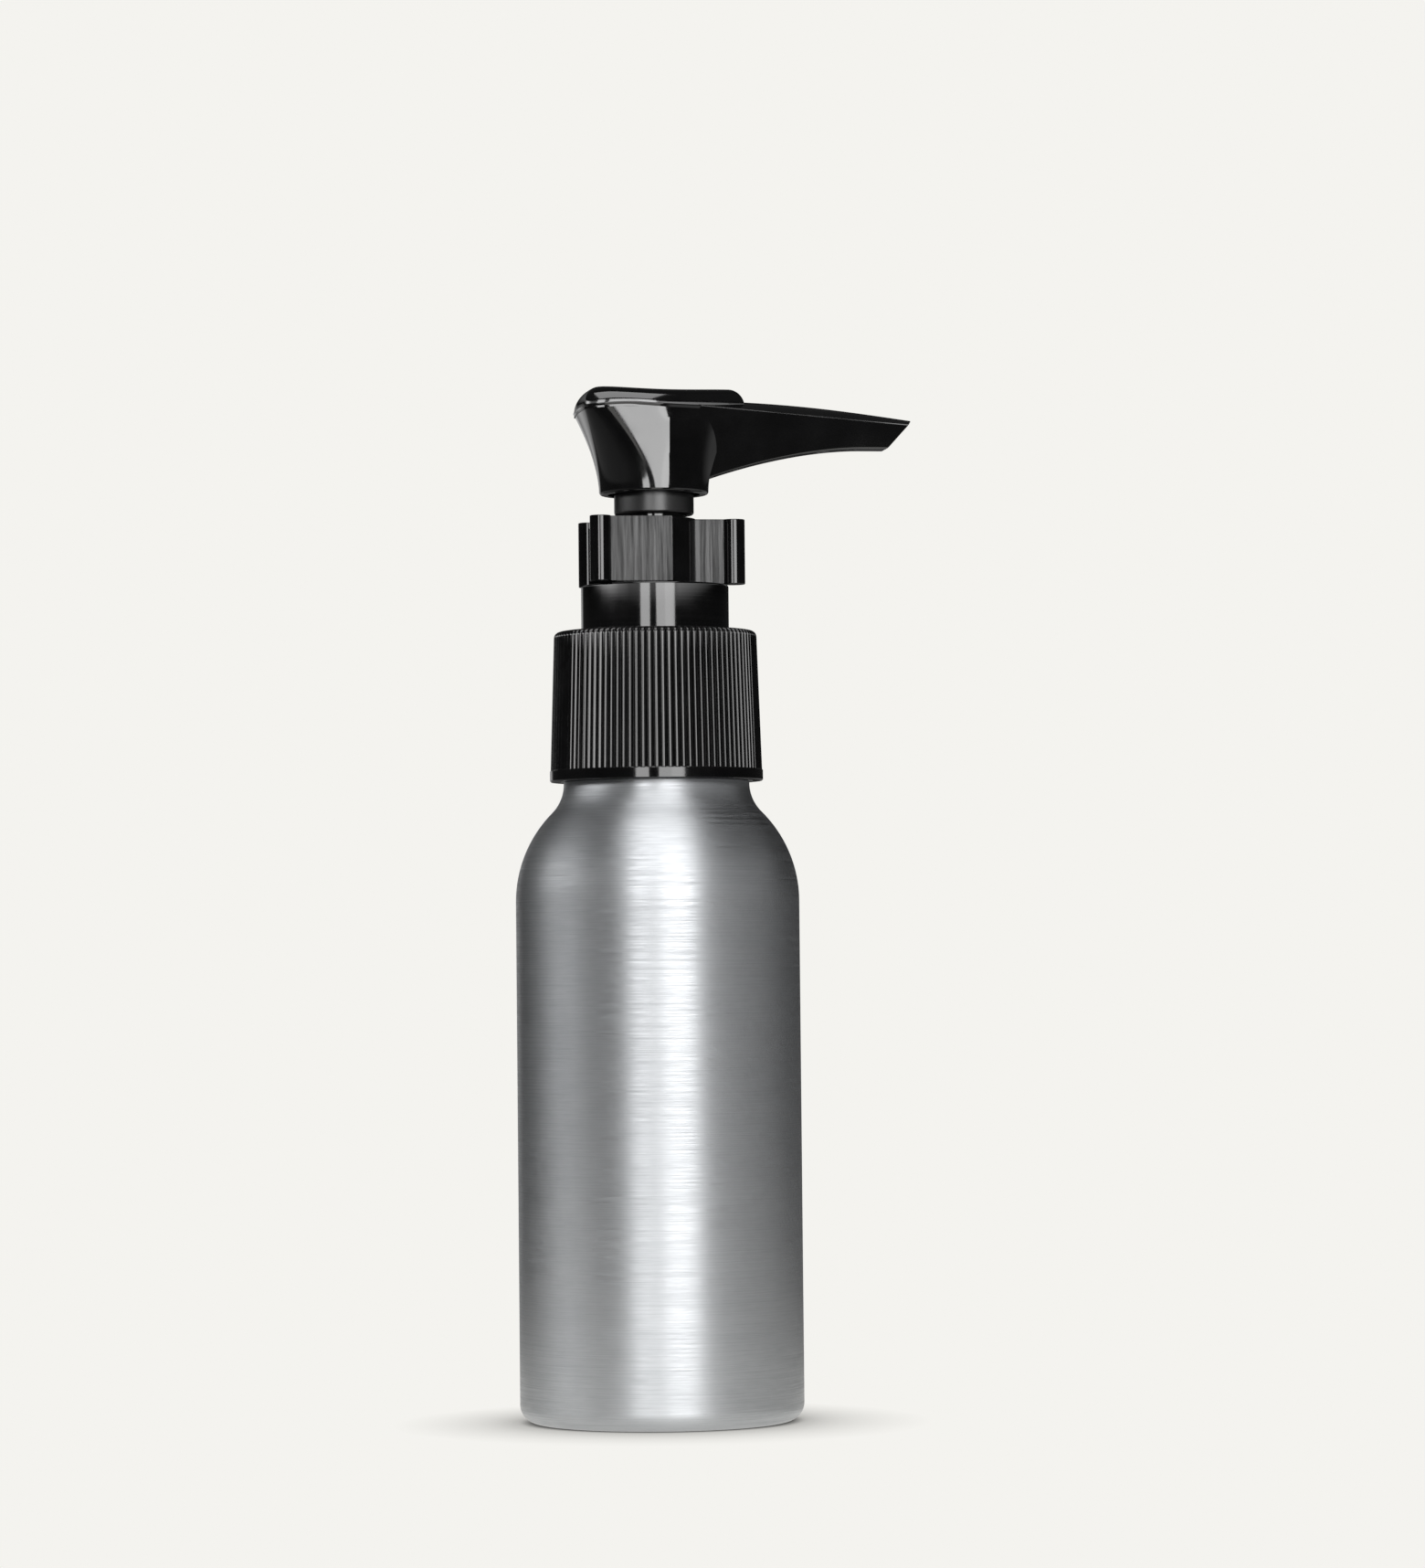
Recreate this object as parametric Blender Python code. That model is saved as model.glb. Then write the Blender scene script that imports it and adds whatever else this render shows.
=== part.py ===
# Small aluminium bottle with a screw-on lotion pump: 36 mm across and about 131 mm high.
# The bottle's axis is Z, its base lies on z = 0, and the nozzle points along +X.
# Every piece is built about the Z axis, from its own seat upwards, and then set at its height.

import math

import bmesh
import bpy

MM = 0.001

# General
SEAT_GAP = 0.2 * MM  # between two pieces that rest on each other
SLIDE_GAP = 0.25 * MM  # radial clearance of a piece that slides or turns
OVERRUN = 1.0 * MM  # how far a cutter passes the surface that it cuts
SINK = 0.4 * MM  # how far a joined shape reaches into its neighbour
WELD = 0.001 * MM
FINE_SIDES = 48
ROUND_SIDES = 36
SMALL_SIDES = 24
SHARP_ANGLE = math.radians(32)

# Bottle
BOTTLE_RADIUS = 18.0 * MM
BOTTLE_WALL = 0.8 * MM
BOTTLE_FLOOR = 1.1 * MM
BASE_FILLET = 2.3 * MM
SHOULDER_HEIGHT = 65.8 * MM  # where the straight side ends
SHOULDER_RADIUS = 16.0 * MM  # the dome's rounding, seen from the side
NECK_FILLET = 5.2 * MM
NECK_FOOT_RADIUS = 11.8 * MM
NECK_RADIUS = 11.0 * MM
NECK_BORE = 10.0 * MM
NECK_LENGTH = 14.1 * MM
NECK_STEP = 0.9 * MM
NECK_LEDGE = 0.2 * MM  # straight stretch between the fillet and the threaded part
LIP_ROUNDING = 0.45 * MM

# Closure
CLOSURE_RISE = 0.25 * MM  # above the end of the neck's fillet
BAND_RADIUS = 13.55 * MM
BAND_HEIGHT = 1.45 * MM
RIB_COUNT = 96
RIB_FOOT_RADIUS = 13.45 * MM
RIB_TOP_RADIUS = 12.9 * MM
RIB_DEPTH = 0.4 * MM
CLOSURE_EDGE = 0.7 * MM
CLOSURE_BORE = 11.95 * MM
CLOSURE_PLATE = 1.3 * MM

# Collar
COLLAR_RADIUS = 9.4 * MM
COLLAR_WALL = 1.1 * MM
COLLAR_RISE = 5.85 * MM  # what stands above the closure
COLLAR_TOP = 1.3 * MM
COLLAR_FLANGE = 1.1 * MM
COLLAR_EDGE = 0.3 * MM
GUIDE_WALL = 1.2 * MM

# Pump below the closure
FLANGE_RADIUS = 10.9 * MM
GASKET_THICKNESS = 0.9 * MM
GASKET_WIDTH = 2.4 * MM
BARREL_FLANGE = 1.1 * MM
BARREL_BORE = 6.0 * MM
BARREL_WALL = 1.2 * MM
CHAMBER_RADIUS = 2.9 * MM
CHAMBER_DEPTH = 4.2 * MM
CHAMBER_WALL = 1.0 * MM
SEAT_CONE = 1.4 * MM
SEAT_BORE = 1.45 * MM
FIN_COUNT = 4
FIN_WIDTH = 0.6 * MM
FIN_HEIGHT = 0.7 * MM
FIN_TIP_RADIUS = 1.4 * MM
TAIL_LENGTH = 9.0 * MM
TAIL_WALL = 0.9 * MM
TUBE_RADIUS = 2.2 * MM
TUBE_WALL = 0.6 * MM
TUBE_FLOOR_GAP = 3.0 * MM
TUBE_SLANT = 2.4 * MM  # how much higher one side of its cut end is
BALL_RADIUS = 1.9 * MM

# Return spring
WIRE_RADIUS = 0.4 * MM
SPRING_RADIUS = 4.3 * MM  # to the middle of the wire
SPRING_CURLS = 8
SPRING_END_CURLS = 1
SPRING_END_PITCH = 1.3 * MM
POINTS_A_CURL = 9
SPRING_HEIGHT = 17.9 * MM

# Stem, rod and piston
STEM_RADIUS = 4.0 * MM
STEM_BORE = 2.45 * MM
STEM_DEPTH = 3.2 * MM  # how far its end stands below the closure's flange stack
ROD_RADIUS = 2.2 * MM
ROD_BORE = 1.2 * MM
ROD_FLOOR = 1.3 * MM
ROD_GRIP = 8.0 * MM  # length of rod inside the stem
ROD_FOOT_RADIUS = 4.9 * MM
ROD_FOOT = 0.9 * MM
PLUG_RADIUS = 3.4 * MM
PLUG_HEIGHT = 1.6 * MM
PORT_RADIUS = 0.7 * MM
PISTON_RADIUS = 5.75 * MM
PISTON_WAIST = 4.9 * MM
PISTON_LIP = 1.4 * MM
PISTON_RECESS = 1.2 * MM
PISTON_HEIGHT = 6.6 * MM
PISTON_RING_SHARE = 0.62  # where its end recess stops, from the bore to the lip

# Lock clip
CLIP_HEIGHT = 8.3 * MM
CLIP_PLAY = 0.48 * MM  # free way between the clip and the head's hub
CLIP_RING_WALL = 1.0 * MM
PAD_FACE = 6.1 * MM  # from the axis to the flat grip faces
PAD_FRONT = 1.5 * MM
PAD_WALL = 1.1 * MM
POST_RADIUS = 1.35 * MM
POST_REAR = 7.65 * MM
POST_SIDE = 6.0 * MM
MOUTH_START = 3.2 * MM
TAB_THICKNESS = 1.1 * MM
TAB_END = 10.2 * MM  # from the axis to the middle of the tab's round end
TAB_END_RADIUS = 1.45 * MM

# Actuator head
SKIRT_RADIUS = 6.97 * MM
SKIRT_BEVEL = 0.5 * MM
SKIRT_WALL = 1.1 * MM
SKIRT_RECESS = 7.0 * MM
HUB_RADIUS = 5.07 * MM
HUB_DROP = 2.62 * MM  # how far the hub reaches below the skirt
HUB_EDGE = 0.35 * MM
HUB_SOCKET = 7.0 * MM  # depth of the stem's seat in the hub
RIM_HEIGHT = 10.95 * MM
REAR_REACH = 9.6 * MM
REAR_HALF = 6.25 * MM
REAR_CORNER = 1.0 * MM
WIDEST_X = 0.95 * MM
WIDEST_HALF = 8.0 * MM
FRONT_X = 9.5 * MM
FRONT_HALF = 4.0 * MM
REAR_FLARE = 1.6  # power of the curve from the skirt to the rim
SIDE_FLARE = 1.1
FRONT_FLARE = 2.0
REAR_TURN = 172  # degrees round the skirt that meet the rear corner's two ends and the front
CORNER_TURN = 100
FRONT_TURN = 25
THUMB_TURNS = (18, 38, 60, 90)  # degrees of the pad's rounding at its rings
REAR_STEPS = 3  # points along half of the straight rear edge
FRONT_STEPS = 2
THUMB_REAR_RISE = 2.45 * MM
THUMB_DIP_RISE = 2.05 * MM
THUMB_FRONT_RISE = 2.4 * MM
THUMB_DIP_X = 1.0 * MM
THUMB_FRONT_X = 11.5 * MM
THUMB_FRONT_HALF = 3.0 * MM
THUMB_EDGE = 0.25 * MM
THUMB_SLOPE = 2.2 * MM
NOZZLE_ROOT_X = 4.0 * MM
NOZZLE_TIP_X = 33.2 * MM
NOZZLE_ROOT_HALF = 6.0 * MM
NOZZLE_TIP_HALF = 2.95 * MM
NOZZLE_UNDER_HALF = 2.5 * MM
NOZZLE_UNDER_EDGE = 0.5 * MM
NOZZLE_TAPER = 1.25  # power of the curve of its half width
NOZZLE_RIM_DROP = 2.15 * MM  # from the rim at its root to the rim at its tip
NOZZLE_ROOF_ROOT = 1.15 * MM  # how far the roof stands above the rim
NOZZLE_ROOF_TIP = 0.8 * MM
NOZZLE_ROOF_MIDDLE = 0.55 * MM
UNDER_START_X = 7.0 * MM
UNDER_END_X = 29.0 * MM
UNDER_START_HEIGHT = 2.1 * MM  # above the skirt's lower edge
UNDER_RISE = 3.8 * MM
TIP_SLANT = 3.3 * MM  # how far the underside ends behind the roof
TIP_SLANT_POWER = 3  # keeps the slant near the tip
CHANNEL_RADIUS = 1.25 * MM
CHANNEL_HEIGHT = 7.3 * MM
OUTLET_HEIGHT = 7.5 * MM

# Heights that follow from the sizes above
NECK_CENTRE = NECK_FOOT_RADIUS + NECK_FILLET
DOME_CENTRE = BOTTLE_RADIUS - SHOULDER_RADIUS
NECK_START = SHOULDER_HEIGHT + math.sqrt(
    (SHOULDER_RADIUS + NECK_FILLET) ** 2 - (NECK_CENTRE - DOME_CENTRE) ** 2
)
LIP_TOP = NECK_START + NECK_LENGTH
GASKET_SEAT = LIP_TOP + SEAT_GAP
BARREL_SEAT = GASKET_SEAT + GASKET_THICKNESS + SEAT_GAP
BARREL_TOP = BARREL_SEAT + BARREL_FLANGE
COLLAR_SEAT = BARREL_TOP + SEAT_GAP
CLOSURE_SEAT = NECK_START + CLOSURE_RISE
CLOSURE_TOP = COLLAR_SEAT + COLLAR_FLANGE + SEAT_GAP + CLOSURE_PLATE
COLLAR_HEIGHT = CLOSURE_TOP + COLLAR_RISE - COLLAR_SEAT
CLIP_SEAT = COLLAR_SEAT + COLLAR_HEIGHT + SEAT_GAP
HUB_BOTTOM = CLIP_SEAT + CLIP_HEIGHT + CLIP_PLAY
SKIRT_BOTTOM = HUB_BOTTOM + HUB_DROP
STEM_SEAT = BARREL_SEAT - STEM_DEPTH + SEAT_GAP
STEM_TOP = HUB_BOTTOM + HUB_SOCKET - SEAT_GAP
PISTON_TOP = STEM_SEAT - SEAT_GAP
PISTON_SEAT = PISTON_TOP - PISTON_HEIGHT
ROD_TOP = STEM_SEAT + ROD_GRIP
ROD_SEAT = PISTON_SEAT + PISTON_RECESS / 2 - SEAT_GAP - PLUG_HEIGHT - ROD_FOOT
SPRING_SEAT = ROD_SEAT - SEAT_GAP - SPRING_HEIGHT
SHELF = SPRING_SEAT - SEAT_GAP
CHAMBER_FLOOR = SHELF - CHAMBER_DEPTH
SEAT_EDGE = CHAMBER_FLOOR - SEAT_CONE
TUBE_SOCKET_TOP = SEAT_EDGE - TAIL_WALL
TAIL_END = TUBE_SOCKET_TOP - TAIL_LENGTH
TUBE_TOP = TUBE_SOCKET_TOP - SEAT_GAP
TUBE_BOTTOM = BOTTLE_FLOOR + TUBE_FLOOR_GAP

ALUMINIUM = ("aluminium", (0.60, 0.61, 0.62), 0.32, 1.0)
BLACK_GLOSS = ("black_gloss", (0.012, 0.012, 0.013), 0.16, 0.0)
BLACK_SATIN = ("black_satin", (0.02, 0.02, 0.021), 0.4, 0.0)
CLEAR_WHITE = ("pump_white", (0.78, 0.78, 0.75), 0.4, 0.0)
SOFT_WHITE = ("soft_white", (0.85, 0.85, 0.82), 0.5, 0.0)
STEEL = ("spring_steel", (0.62, 0.62, 0.63), 0.25, 1.0)


def clear_scene():
    for thing in list(bpy.data.objects):
        bpy.data.objects.remove(thing, do_unlink=True)


def material(kind):
    name, colour, roughness, metallic = kind
    made = bpy.data.materials.get(name)
    if made:
        return made
    made = bpy.data.materials.new(name)
    made.use_nodes = True
    shader = made.node_tree.nodes["Principled BSDF"]
    shader.inputs["Base Color"].default_value = (*colour, 1)
    shader.inputs["Roughness"].default_value = roughness
    shader.inputs["Metallic"].default_value = metallic
    return made


def group(name, parent=None):
    axis = bpy.data.objects.new(name, None)
    bpy.context.scene.collection.objects.link(axis)
    axis.parent = parent
    return axis


def to_object(name, mesh, kind, height, parent):
    bmesh.ops.recalc_face_normals(mesh, faces=mesh.faces)
    data = bpy.data.meshes.new(name)
    mesh.to_mesh(data)
    mesh.free()
    data.materials.append(material(kind))
    data.shade_smooth()
    data.set_sharp_from_angle(angle=SHARP_ANGLE)
    made = bpy.data.objects.new(name, data)
    bpy.context.scene.collection.objects.link(made)
    made.location.z = height
    made.parent = parent
    return made


def between(start, end, share):
    return start + (end - start) * share


def shares(count):
    return [step / count for step in range(count + 1)]


# Points on a circle, from one angle to another, in degrees
def arc(centre, radius, start, end, steps):
    points = []
    for share in shares(steps):
        angle = math.radians(between(start, end, share))
        points.append((centre[0] + radius * math.cos(angle), centre[1] + radius * math.sin(angle)))
    return points


# A shape turned about the Z axis from a closed outline of (radius, height) points
def turned(outline, sides):
    mesh = bmesh.new()
    solid = outline[0][0] == 0
    points = outline[1:-1] if solid else outline + outline[:1]
    corners = [mesh.verts.new((radius, 0, height)) for radius, height in points]
    edges = [mesh.edges.new(pair) for pair in zip(corners, corners[1:])]
    bmesh.ops.spin(
        mesh, geom=corners + edges, axis=(0, 0, 1), cent=(0, 0, 0), angle=math.tau, steps=sides
    )
    bmesh.ops.remove_doubles(mesh, verts=mesh.verts, dist=WELD)
    if solid:
        bmesh.ops.holes_fill(mesh, edges=mesh.edges, sides=sides)
    return mesh


# A closed shape through rings of points, with a flat face at each end
def lofted(rings):
    mesh = bmesh.new()
    rows = [[mesh.verts.new(point) for point in ring] for ring in rings]
    count = len(rows[0])
    for lower, upper in zip(rows, rows[1:]):
        for place in range(count):
            after = (place + 1) % count
            mesh.faces.new((lower[place], lower[after], upper[after], upper[place]))
    mesh.faces.new(reversed(rows[0]))
    mesh.faces.new(rows[-1])
    mesh.faces.ensure_lookup_table()
    return mesh


# Joins or cuts with the other shapes, which are then used up
def combine(target, others, operation):
    for other in others:
        step = target.modifiers.new("combine", "BOOLEAN")
        step.operation = operation
        step.object = other
    bpy.context.view_layer.update()
    evaluated = target.evaluated_get(bpy.context.evaluated_depsgraph_get())
    data = bpy.data.meshes.new_from_object(evaluated)
    target.modifiers.clear()
    target.data = data
    data.name = target.name
    data.shade_smooth()
    data.set_sharp_from_angle(angle=SHARP_ANGLE)
    for other in others:
        bpy.data.objects.remove(other, do_unlink=True)


def make_bottle(parent):
    inner = BOTTLE_RADIUS - BOTTLE_WALL
    span = NECK_CENTRE - DOME_CENTRE
    lean = math.degrees(math.acos(span / (SHOULDER_RADIUS + NECK_FILLET)))
    dome = (DOME_CENTRE, SHOULDER_HEIGHT)
    waist = (NECK_CENTRE, NECK_START)
    bore_fillet = NECK_CENTRE - NECK_BORE
    bore_dome = SHOULDER_RADIUS - BOTTLE_WALL
    bore_start = SHOULDER_HEIGHT + math.sqrt((bore_dome + bore_fillet) ** 2 - span**2)
    bore_lean = math.degrees(math.acos(span / (bore_dome + bore_fillet)))
    outline = [(0, 0)]
    outline += arc((BOTTLE_RADIUS - BASE_FILLET, BASE_FILLET), BASE_FILLET, -90, 0, 4)
    outline += arc(dome, SHOULDER_RADIUS, 0, lean, 6)
    outline += arc(waist, NECK_FILLET, 180 + lean, 180, 4)[1:]
    outline += [(NECK_FOOT_RADIUS, NECK_START + NECK_LEDGE), (NECK_RADIUS, NECK_START + NECK_STEP)]
    outline += arc((NECK_RADIUS - LIP_ROUNDING, LIP_TOP - LIP_ROUNDING), LIP_ROUNDING, 0, 90, 2)
    outline += [(NECK_BORE, LIP_TOP)]
    outline += arc((NECK_CENTRE, bore_start), bore_fillet, 180, 180 + bore_lean, 2)
    outline += arc(dome, bore_dome, bore_lean, 0, 4)[1:]
    inner_fillet = BASE_FILLET - BOTTLE_WALL
    outline += arc((inner - inner_fillet, BOTTLE_FLOOR + inner_fillet), inner_fillet, 0, -90, 2)
    outline += [(0, BOTTLE_FLOOR)]
    return to_object("bottle_shell", turned(outline, FINE_SIDES), ALUMINIUM, 0, parent)


# Screw cap: a plain band, then ribs that lean in, run over the top edge and fade out on the plate
def make_closure(parent):
    top = CLOSURE_TOP - CLOSURE_SEAT
    hole = COLLAR_RADIUS + SLIDE_GAP
    edge_start = top - CLOSURE_EDGE
    edge_turn = RIB_TOP_RADIUS - CLOSURE_EDGE
    rise = CLOSURE_EDGE * math.sin(math.radians(45))
    levels = [
        (BAND_RADIUS, 0, 0),
        (BAND_RADIUS, 0, BAND_HEIGHT),
        (RIB_FOOT_RADIUS, RIB_DEPTH, BAND_HEIGHT),
        (RIB_TOP_RADIUS, RIB_DEPTH, edge_start),
        (edge_turn + rise, RIB_DEPTH, edge_start + rise),
        (edge_turn, 0, top),
        (hole, 0, top),
        (hole, 0, top - CLOSURE_PLATE),
        (CLOSURE_BORE, 0, top - CLOSURE_PLATE),
        (CLOSURE_BORE, 0, 0),
    ]
    mesh = bmesh.new()
    rows = []
    for radius, depth, height in levels:
        row = []
        for place in range(2 * RIB_COUNT):
            angle = math.tau * place / (2 * RIB_COUNT)
            reach = radius - depth * (place % 2)
            row.append(mesh.verts.new((reach * math.cos(angle), reach * math.sin(angle), height)))
        rows.append(row)
    for lower, upper in zip(rows, rows[1:] + rows[:1]):
        for place in range(2 * RIB_COUNT):
            after = (place + 1) % (2 * RIB_COUNT)
            mesh.faces.new((lower[place], lower[after], upper[after], upper[place]))
    return to_object("closure", mesh, BLACK_GLOSS, CLOSURE_SEAT, parent)


# Collar: the flange that the closure holds down, a drum, and the stem's guide, which stops the piston
def make_collar(parent):
    flange = CLOSURE_BORE - SLIDE_GAP * 2
    bore = STEM_RADIUS + SLIDE_GAP
    guide = bore + GUIDE_WALL
    guide_end = PISTON_TOP + SEAT_GAP - COLLAR_SEAT
    drum_bore = COLLAR_RADIUS - COLLAR_WALL
    outline = [(drum_bore, 0), (flange, 0), (flange, COLLAR_FLANGE), (COLLAR_RADIUS, COLLAR_FLANGE)]
    outline += arc((COLLAR_RADIUS - COLLAR_EDGE, COLLAR_HEIGHT - COLLAR_EDGE), COLLAR_EDGE, 0, 90, 3)
    outline += [
        (bore, COLLAR_HEIGHT),
        (bore, guide_end),
        (guide, guide_end),
        (guide, COLLAR_HEIGHT - COLLAR_TOP),
        (drum_bore, COLLAR_HEIGHT - COLLAR_TOP),
    ]
    return to_object("collar", turned(outline, ROUND_SIDES), BLACK_GLOSS, COLLAR_SEAT, parent)


def make_gasket(parent):
    inner = FLANGE_RADIUS - GASKET_WIDTH
    outline = [
        (inner, 0),
        (FLANGE_RADIUS, 0),
        (FLANGE_RADIUS, GASKET_THICKNESS),
        (inner, GASKET_THICKNESS),
    ]
    return to_object("gasket", turned(outline, ROUND_SIDES), SOFT_WHITE, GASKET_SEAT, parent)


# Pump housing, with its heights counted from the top of its flange
def make_barrel(parent):
    outer = BARREL_BORE + BARREL_WALL
    chamber = CHAMBER_RADIUS + CHAMBER_WALL
    tail = TUBE_RADIUS + SLIDE_GAP + TAIL_WALL
    shelf = SHELF - BARREL_TOP
    floor = CHAMBER_FLOOR - BARREL_TOP
    seat = SEAT_EDGE - BARREL_TOP
    socket = TUBE_SOCKET_TOP - BARREL_TOP
    end = TAIL_END - BARREL_TOP
    outline = [
        (BARREL_BORE, 0),
        (FLANGE_RADIUS, 0),
        (FLANGE_RADIUS, -BARREL_FLANGE),
        (outer, -BARREL_FLANGE),
        (outer, shelf),
        (chamber, shelf - BARREL_WALL),
        (chamber, seat),
        (tail, seat - TAIL_WALL),
        (tail, end),
        (TUBE_RADIUS + SLIDE_GAP, end),
        (TUBE_RADIUS + SLIDE_GAP, socket),
        (SEAT_BORE, socket),
        (SEAT_BORE, seat),
        (CHAMBER_RADIUS, floor),
        (CHAMBER_RADIUS, shelf),
        (BARREL_BORE, shelf),
    ]
    barrel = to_object("barrel", turned(outline, ROUND_SIDES), CLEAR_WHITE, BARREL_TOP, parent)
    fins = []
    length = CHAMBER_RADIUS + SINK - FIN_TIP_RADIUS
    for place in range(FIN_COUNT):
        angle = math.tau * place / FIN_COUNT
        mesh = bmesh.new()
        bmesh.ops.create_cube(mesh, size=1)
        bmesh.ops.scale(mesh, vec=(length, FIN_WIDTH, FIN_HEIGHT), verts=mesh.verts)
        fin = to_object("fin", mesh, CLEAR_WHITE, SHELF - FIN_HEIGHT / 2 - SEAT_GAP, parent)
        reach = FIN_TIP_RADIUS + length / 2
        fin.location.x = reach * math.cos(angle)
        fin.location.y = reach * math.sin(angle)
        fin.rotation_euler.z = angle
        fins.append(fin)
    combine(barrel, fins, "UNION")
    return barrel


# Dip tube with a slanted lower end, so that the bottle's floor can't close it
def make_dip_tube(parent):
    length = TUBE_TOP - TUBE_BOTTOM
    bore = TUBE_RADIUS - TUBE_WALL
    outline = [(bore, 0), (TUBE_RADIUS, 0), (TUBE_RADIUS, length), (bore, length)]
    mesh = turned(outline, SMALL_SIDES)
    for corner in mesh.verts:
        if corner.co.z < WELD:
            corner.co.z += TUBE_SLANT * (TUBE_RADIUS - corner.co.x) / (2 * TUBE_RADIUS)
    return to_object("dip_tube", mesh, CLEAR_WHITE, TUBE_BOTTOM, parent)


def make_ball(parent):
    mesh = bmesh.new()
    bmesh.ops.create_uvsphere(
        mesh, u_segments=SMALL_SIDES // 2, v_segments=SMALL_SIDES // 4, radius=BALL_RADIUS
    )
    slope = math.atan2(CHAMBER_RADIUS - SEAT_BORE, SEAT_CONE)
    rest = (BALL_RADIUS + SLIDE_GAP) / math.sin(slope) - SEAT_BORE / math.tan(slope)
    return to_object("inlet_ball", mesh, STEEL, SEAT_EDGE + rest, parent)


# One unbroken wire: its end curls lie close, and the others share what height is left
def make_spring(parent):
    rise = SPRING_HEIGHT - 2 * WIRE_RADIUS
    ends = 2 * SPRING_END_CURLS
    pitch = (rise - ends * SPRING_END_PITCH) / (SPRING_CURLS - ends)
    points = []
    for place in range(SPRING_CURLS * POINTS_A_CURL + 1):
        curl = place / POINTS_A_CURL
        angle = math.tau * curl
        low = min(curl, SPRING_END_CURLS)
        high = max(curl - (SPRING_CURLS - SPRING_END_CURLS), 0)
        middle = curl - low - high
        height = WIRE_RADIUS + (low + high) * SPRING_END_PITCH + middle * pitch
        points.append((SPRING_RADIUS * math.cos(angle), SPRING_RADIUS * math.sin(angle), height))
    gap = min(
        math.dist(first, second)
        for place, first in enumerate(points)
        for second in points[place + POINTS_A_CURL // 2 :]
    )
    print("least gap in the spring, mm:", round((gap - 2 * WIRE_RADIUS) / MM, 3))
    data = bpy.data.curves.new("return_spring", "CURVE")
    data.dimensions = "3D"
    data.bevel_depth = WIRE_RADIUS
    data.bevel_resolution = 1
    data.use_fill_caps = True
    wire = data.splines.new("POLY")
    wire.points.add(len(points) - 1)
    for point, place in zip(wire.points, points):
        point.co = (*place, 1)
    data.materials.append(material(STEEL))
    spring = bpy.data.objects.new("return_spring", data)
    bpy.context.scene.collection.objects.link(spring)
    spring.location.z = SPRING_SEAT
    spring.parent = parent
    return spring


# Rod that is pressed into the stem, with a blind bore, a side port and the plug that shuts the piston
def make_rod(parent):
    length = ROD_TOP - ROD_SEAT
    outline = [
        (0, 0),
        (ROD_FOOT_RADIUS, 0),
        (ROD_FOOT_RADIUS, ROD_FOOT),
        (PLUG_RADIUS, ROD_FOOT),
        (ROD_RADIUS, ROD_FOOT + PLUG_HEIGHT),
        (ROD_RADIUS, length),
        (ROD_BORE, length),
        (ROD_BORE, ROD_FOOT + ROD_FLOOR),
        (0, ROD_FOOT + ROD_FLOOR),
    ]
    rod = to_object("piston_rod", turned(outline, SMALL_SIDES), SOFT_WHITE, ROD_SEAT, parent)
    mesh = bmesh.new()
    bmesh.ops.create_cone(
        mesh,
        cap_ends=True,
        segments=SMALL_SIDES // 2,
        radius1=PORT_RADIUS,
        radius2=PORT_RADIUS,
        depth=2 * (ROD_RADIUS + OVERRUN),
    )
    port_height = ROD_FOOT + PLUG_HEIGHT + 2 * PORT_RADIUS
    port = to_object("port", mesh, SOFT_WHITE, ROD_SEAT + port_height, parent)
    port.rotation_euler.y = math.radians(90)
    combine(rod, [port], "DIFFERENCE")
    return rod


# Piston with a lip at each end that bears on the barrel
def make_piston(parent):
    bore = ROD_RADIUS + SLIDE_GAP
    ring = between(bore, PISTON_RADIUS, PISTON_RING_SHARE)
    waist_low = PISTON_LIP * 2
    waist_high = PISTON_HEIGHT - PISTON_LIP * 2
    outline = [
        (bore, PISTON_RECESS / 2),
        (ring, PISTON_RECESS / 2),
        (PISTON_RADIUS - SLIDE_GAP, 0),
        (PISTON_RADIUS, 0),
        (PISTON_WAIST, waist_low),
        (PISTON_WAIST, waist_high),
        (PISTON_RADIUS, PISTON_HEIGHT),
        (PISTON_RADIUS - SLIDE_GAP, PISTON_HEIGHT),
        (ring, PISTON_HEIGHT - PISTON_RECESS),
        (bore, PISTON_HEIGHT - PISTON_RECESS),
    ]
    return to_object("piston", turned(outline, ROUND_SIDES), SOFT_WHITE, PISTON_SEAT, parent)


def make_stem(parent):
    length = STEM_TOP - STEM_SEAT
    outline = [(STEM_BORE, 0), (STEM_RADIUS, 0), (STEM_RADIUS, length), (STEM_BORE, length)]
    return to_object("stem", turned(outline, ROUND_SIDES), BLACK_SATIN, STEM_SEAT, parent)


# Plan of the clip's half at +Y, from the tab's round end along the outside to the mouth and back inside
def clip_half():
    inner = STEM_RADIUS + SLIDE_GAP
    outer = inner + CLIP_RING_WALL
    tab = TAB_THICKNESS / 2
    end_turn = 180 - math.degrees(math.asin(tab / TAB_END_RADIUS))
    ring_start = math.degrees(math.asin(tab / outer))
    ring_end = math.degrees(math.acos(PAD_FRONT / outer))
    post_start = math.degrees(math.asin((PAD_FACE - POST_SIDE) / POST_RADIUS))
    post_end = 360 - math.degrees(math.asin((POST_SIDE - PAD_FACE + PAD_WALL) / POST_RADIUS))
    points = arc((TAB_END, 0), TAB_END_RADIUS, 0, end_turn, 7)
    points += arc((0, 0), outer, ring_start, ring_end, 6)
    points += [(PAD_FRONT, PAD_FACE)]
    points += arc((-POST_REAR, POST_SIDE), POST_RADIUS, post_start, post_end, 12)
    points += [(-MOUTH_START - PAD_WALL, PAD_FACE - PAD_WALL), (-MOUTH_START, inner)]
    points += arc((0, 0), inner, 90, 0, 8)
    return points


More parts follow.
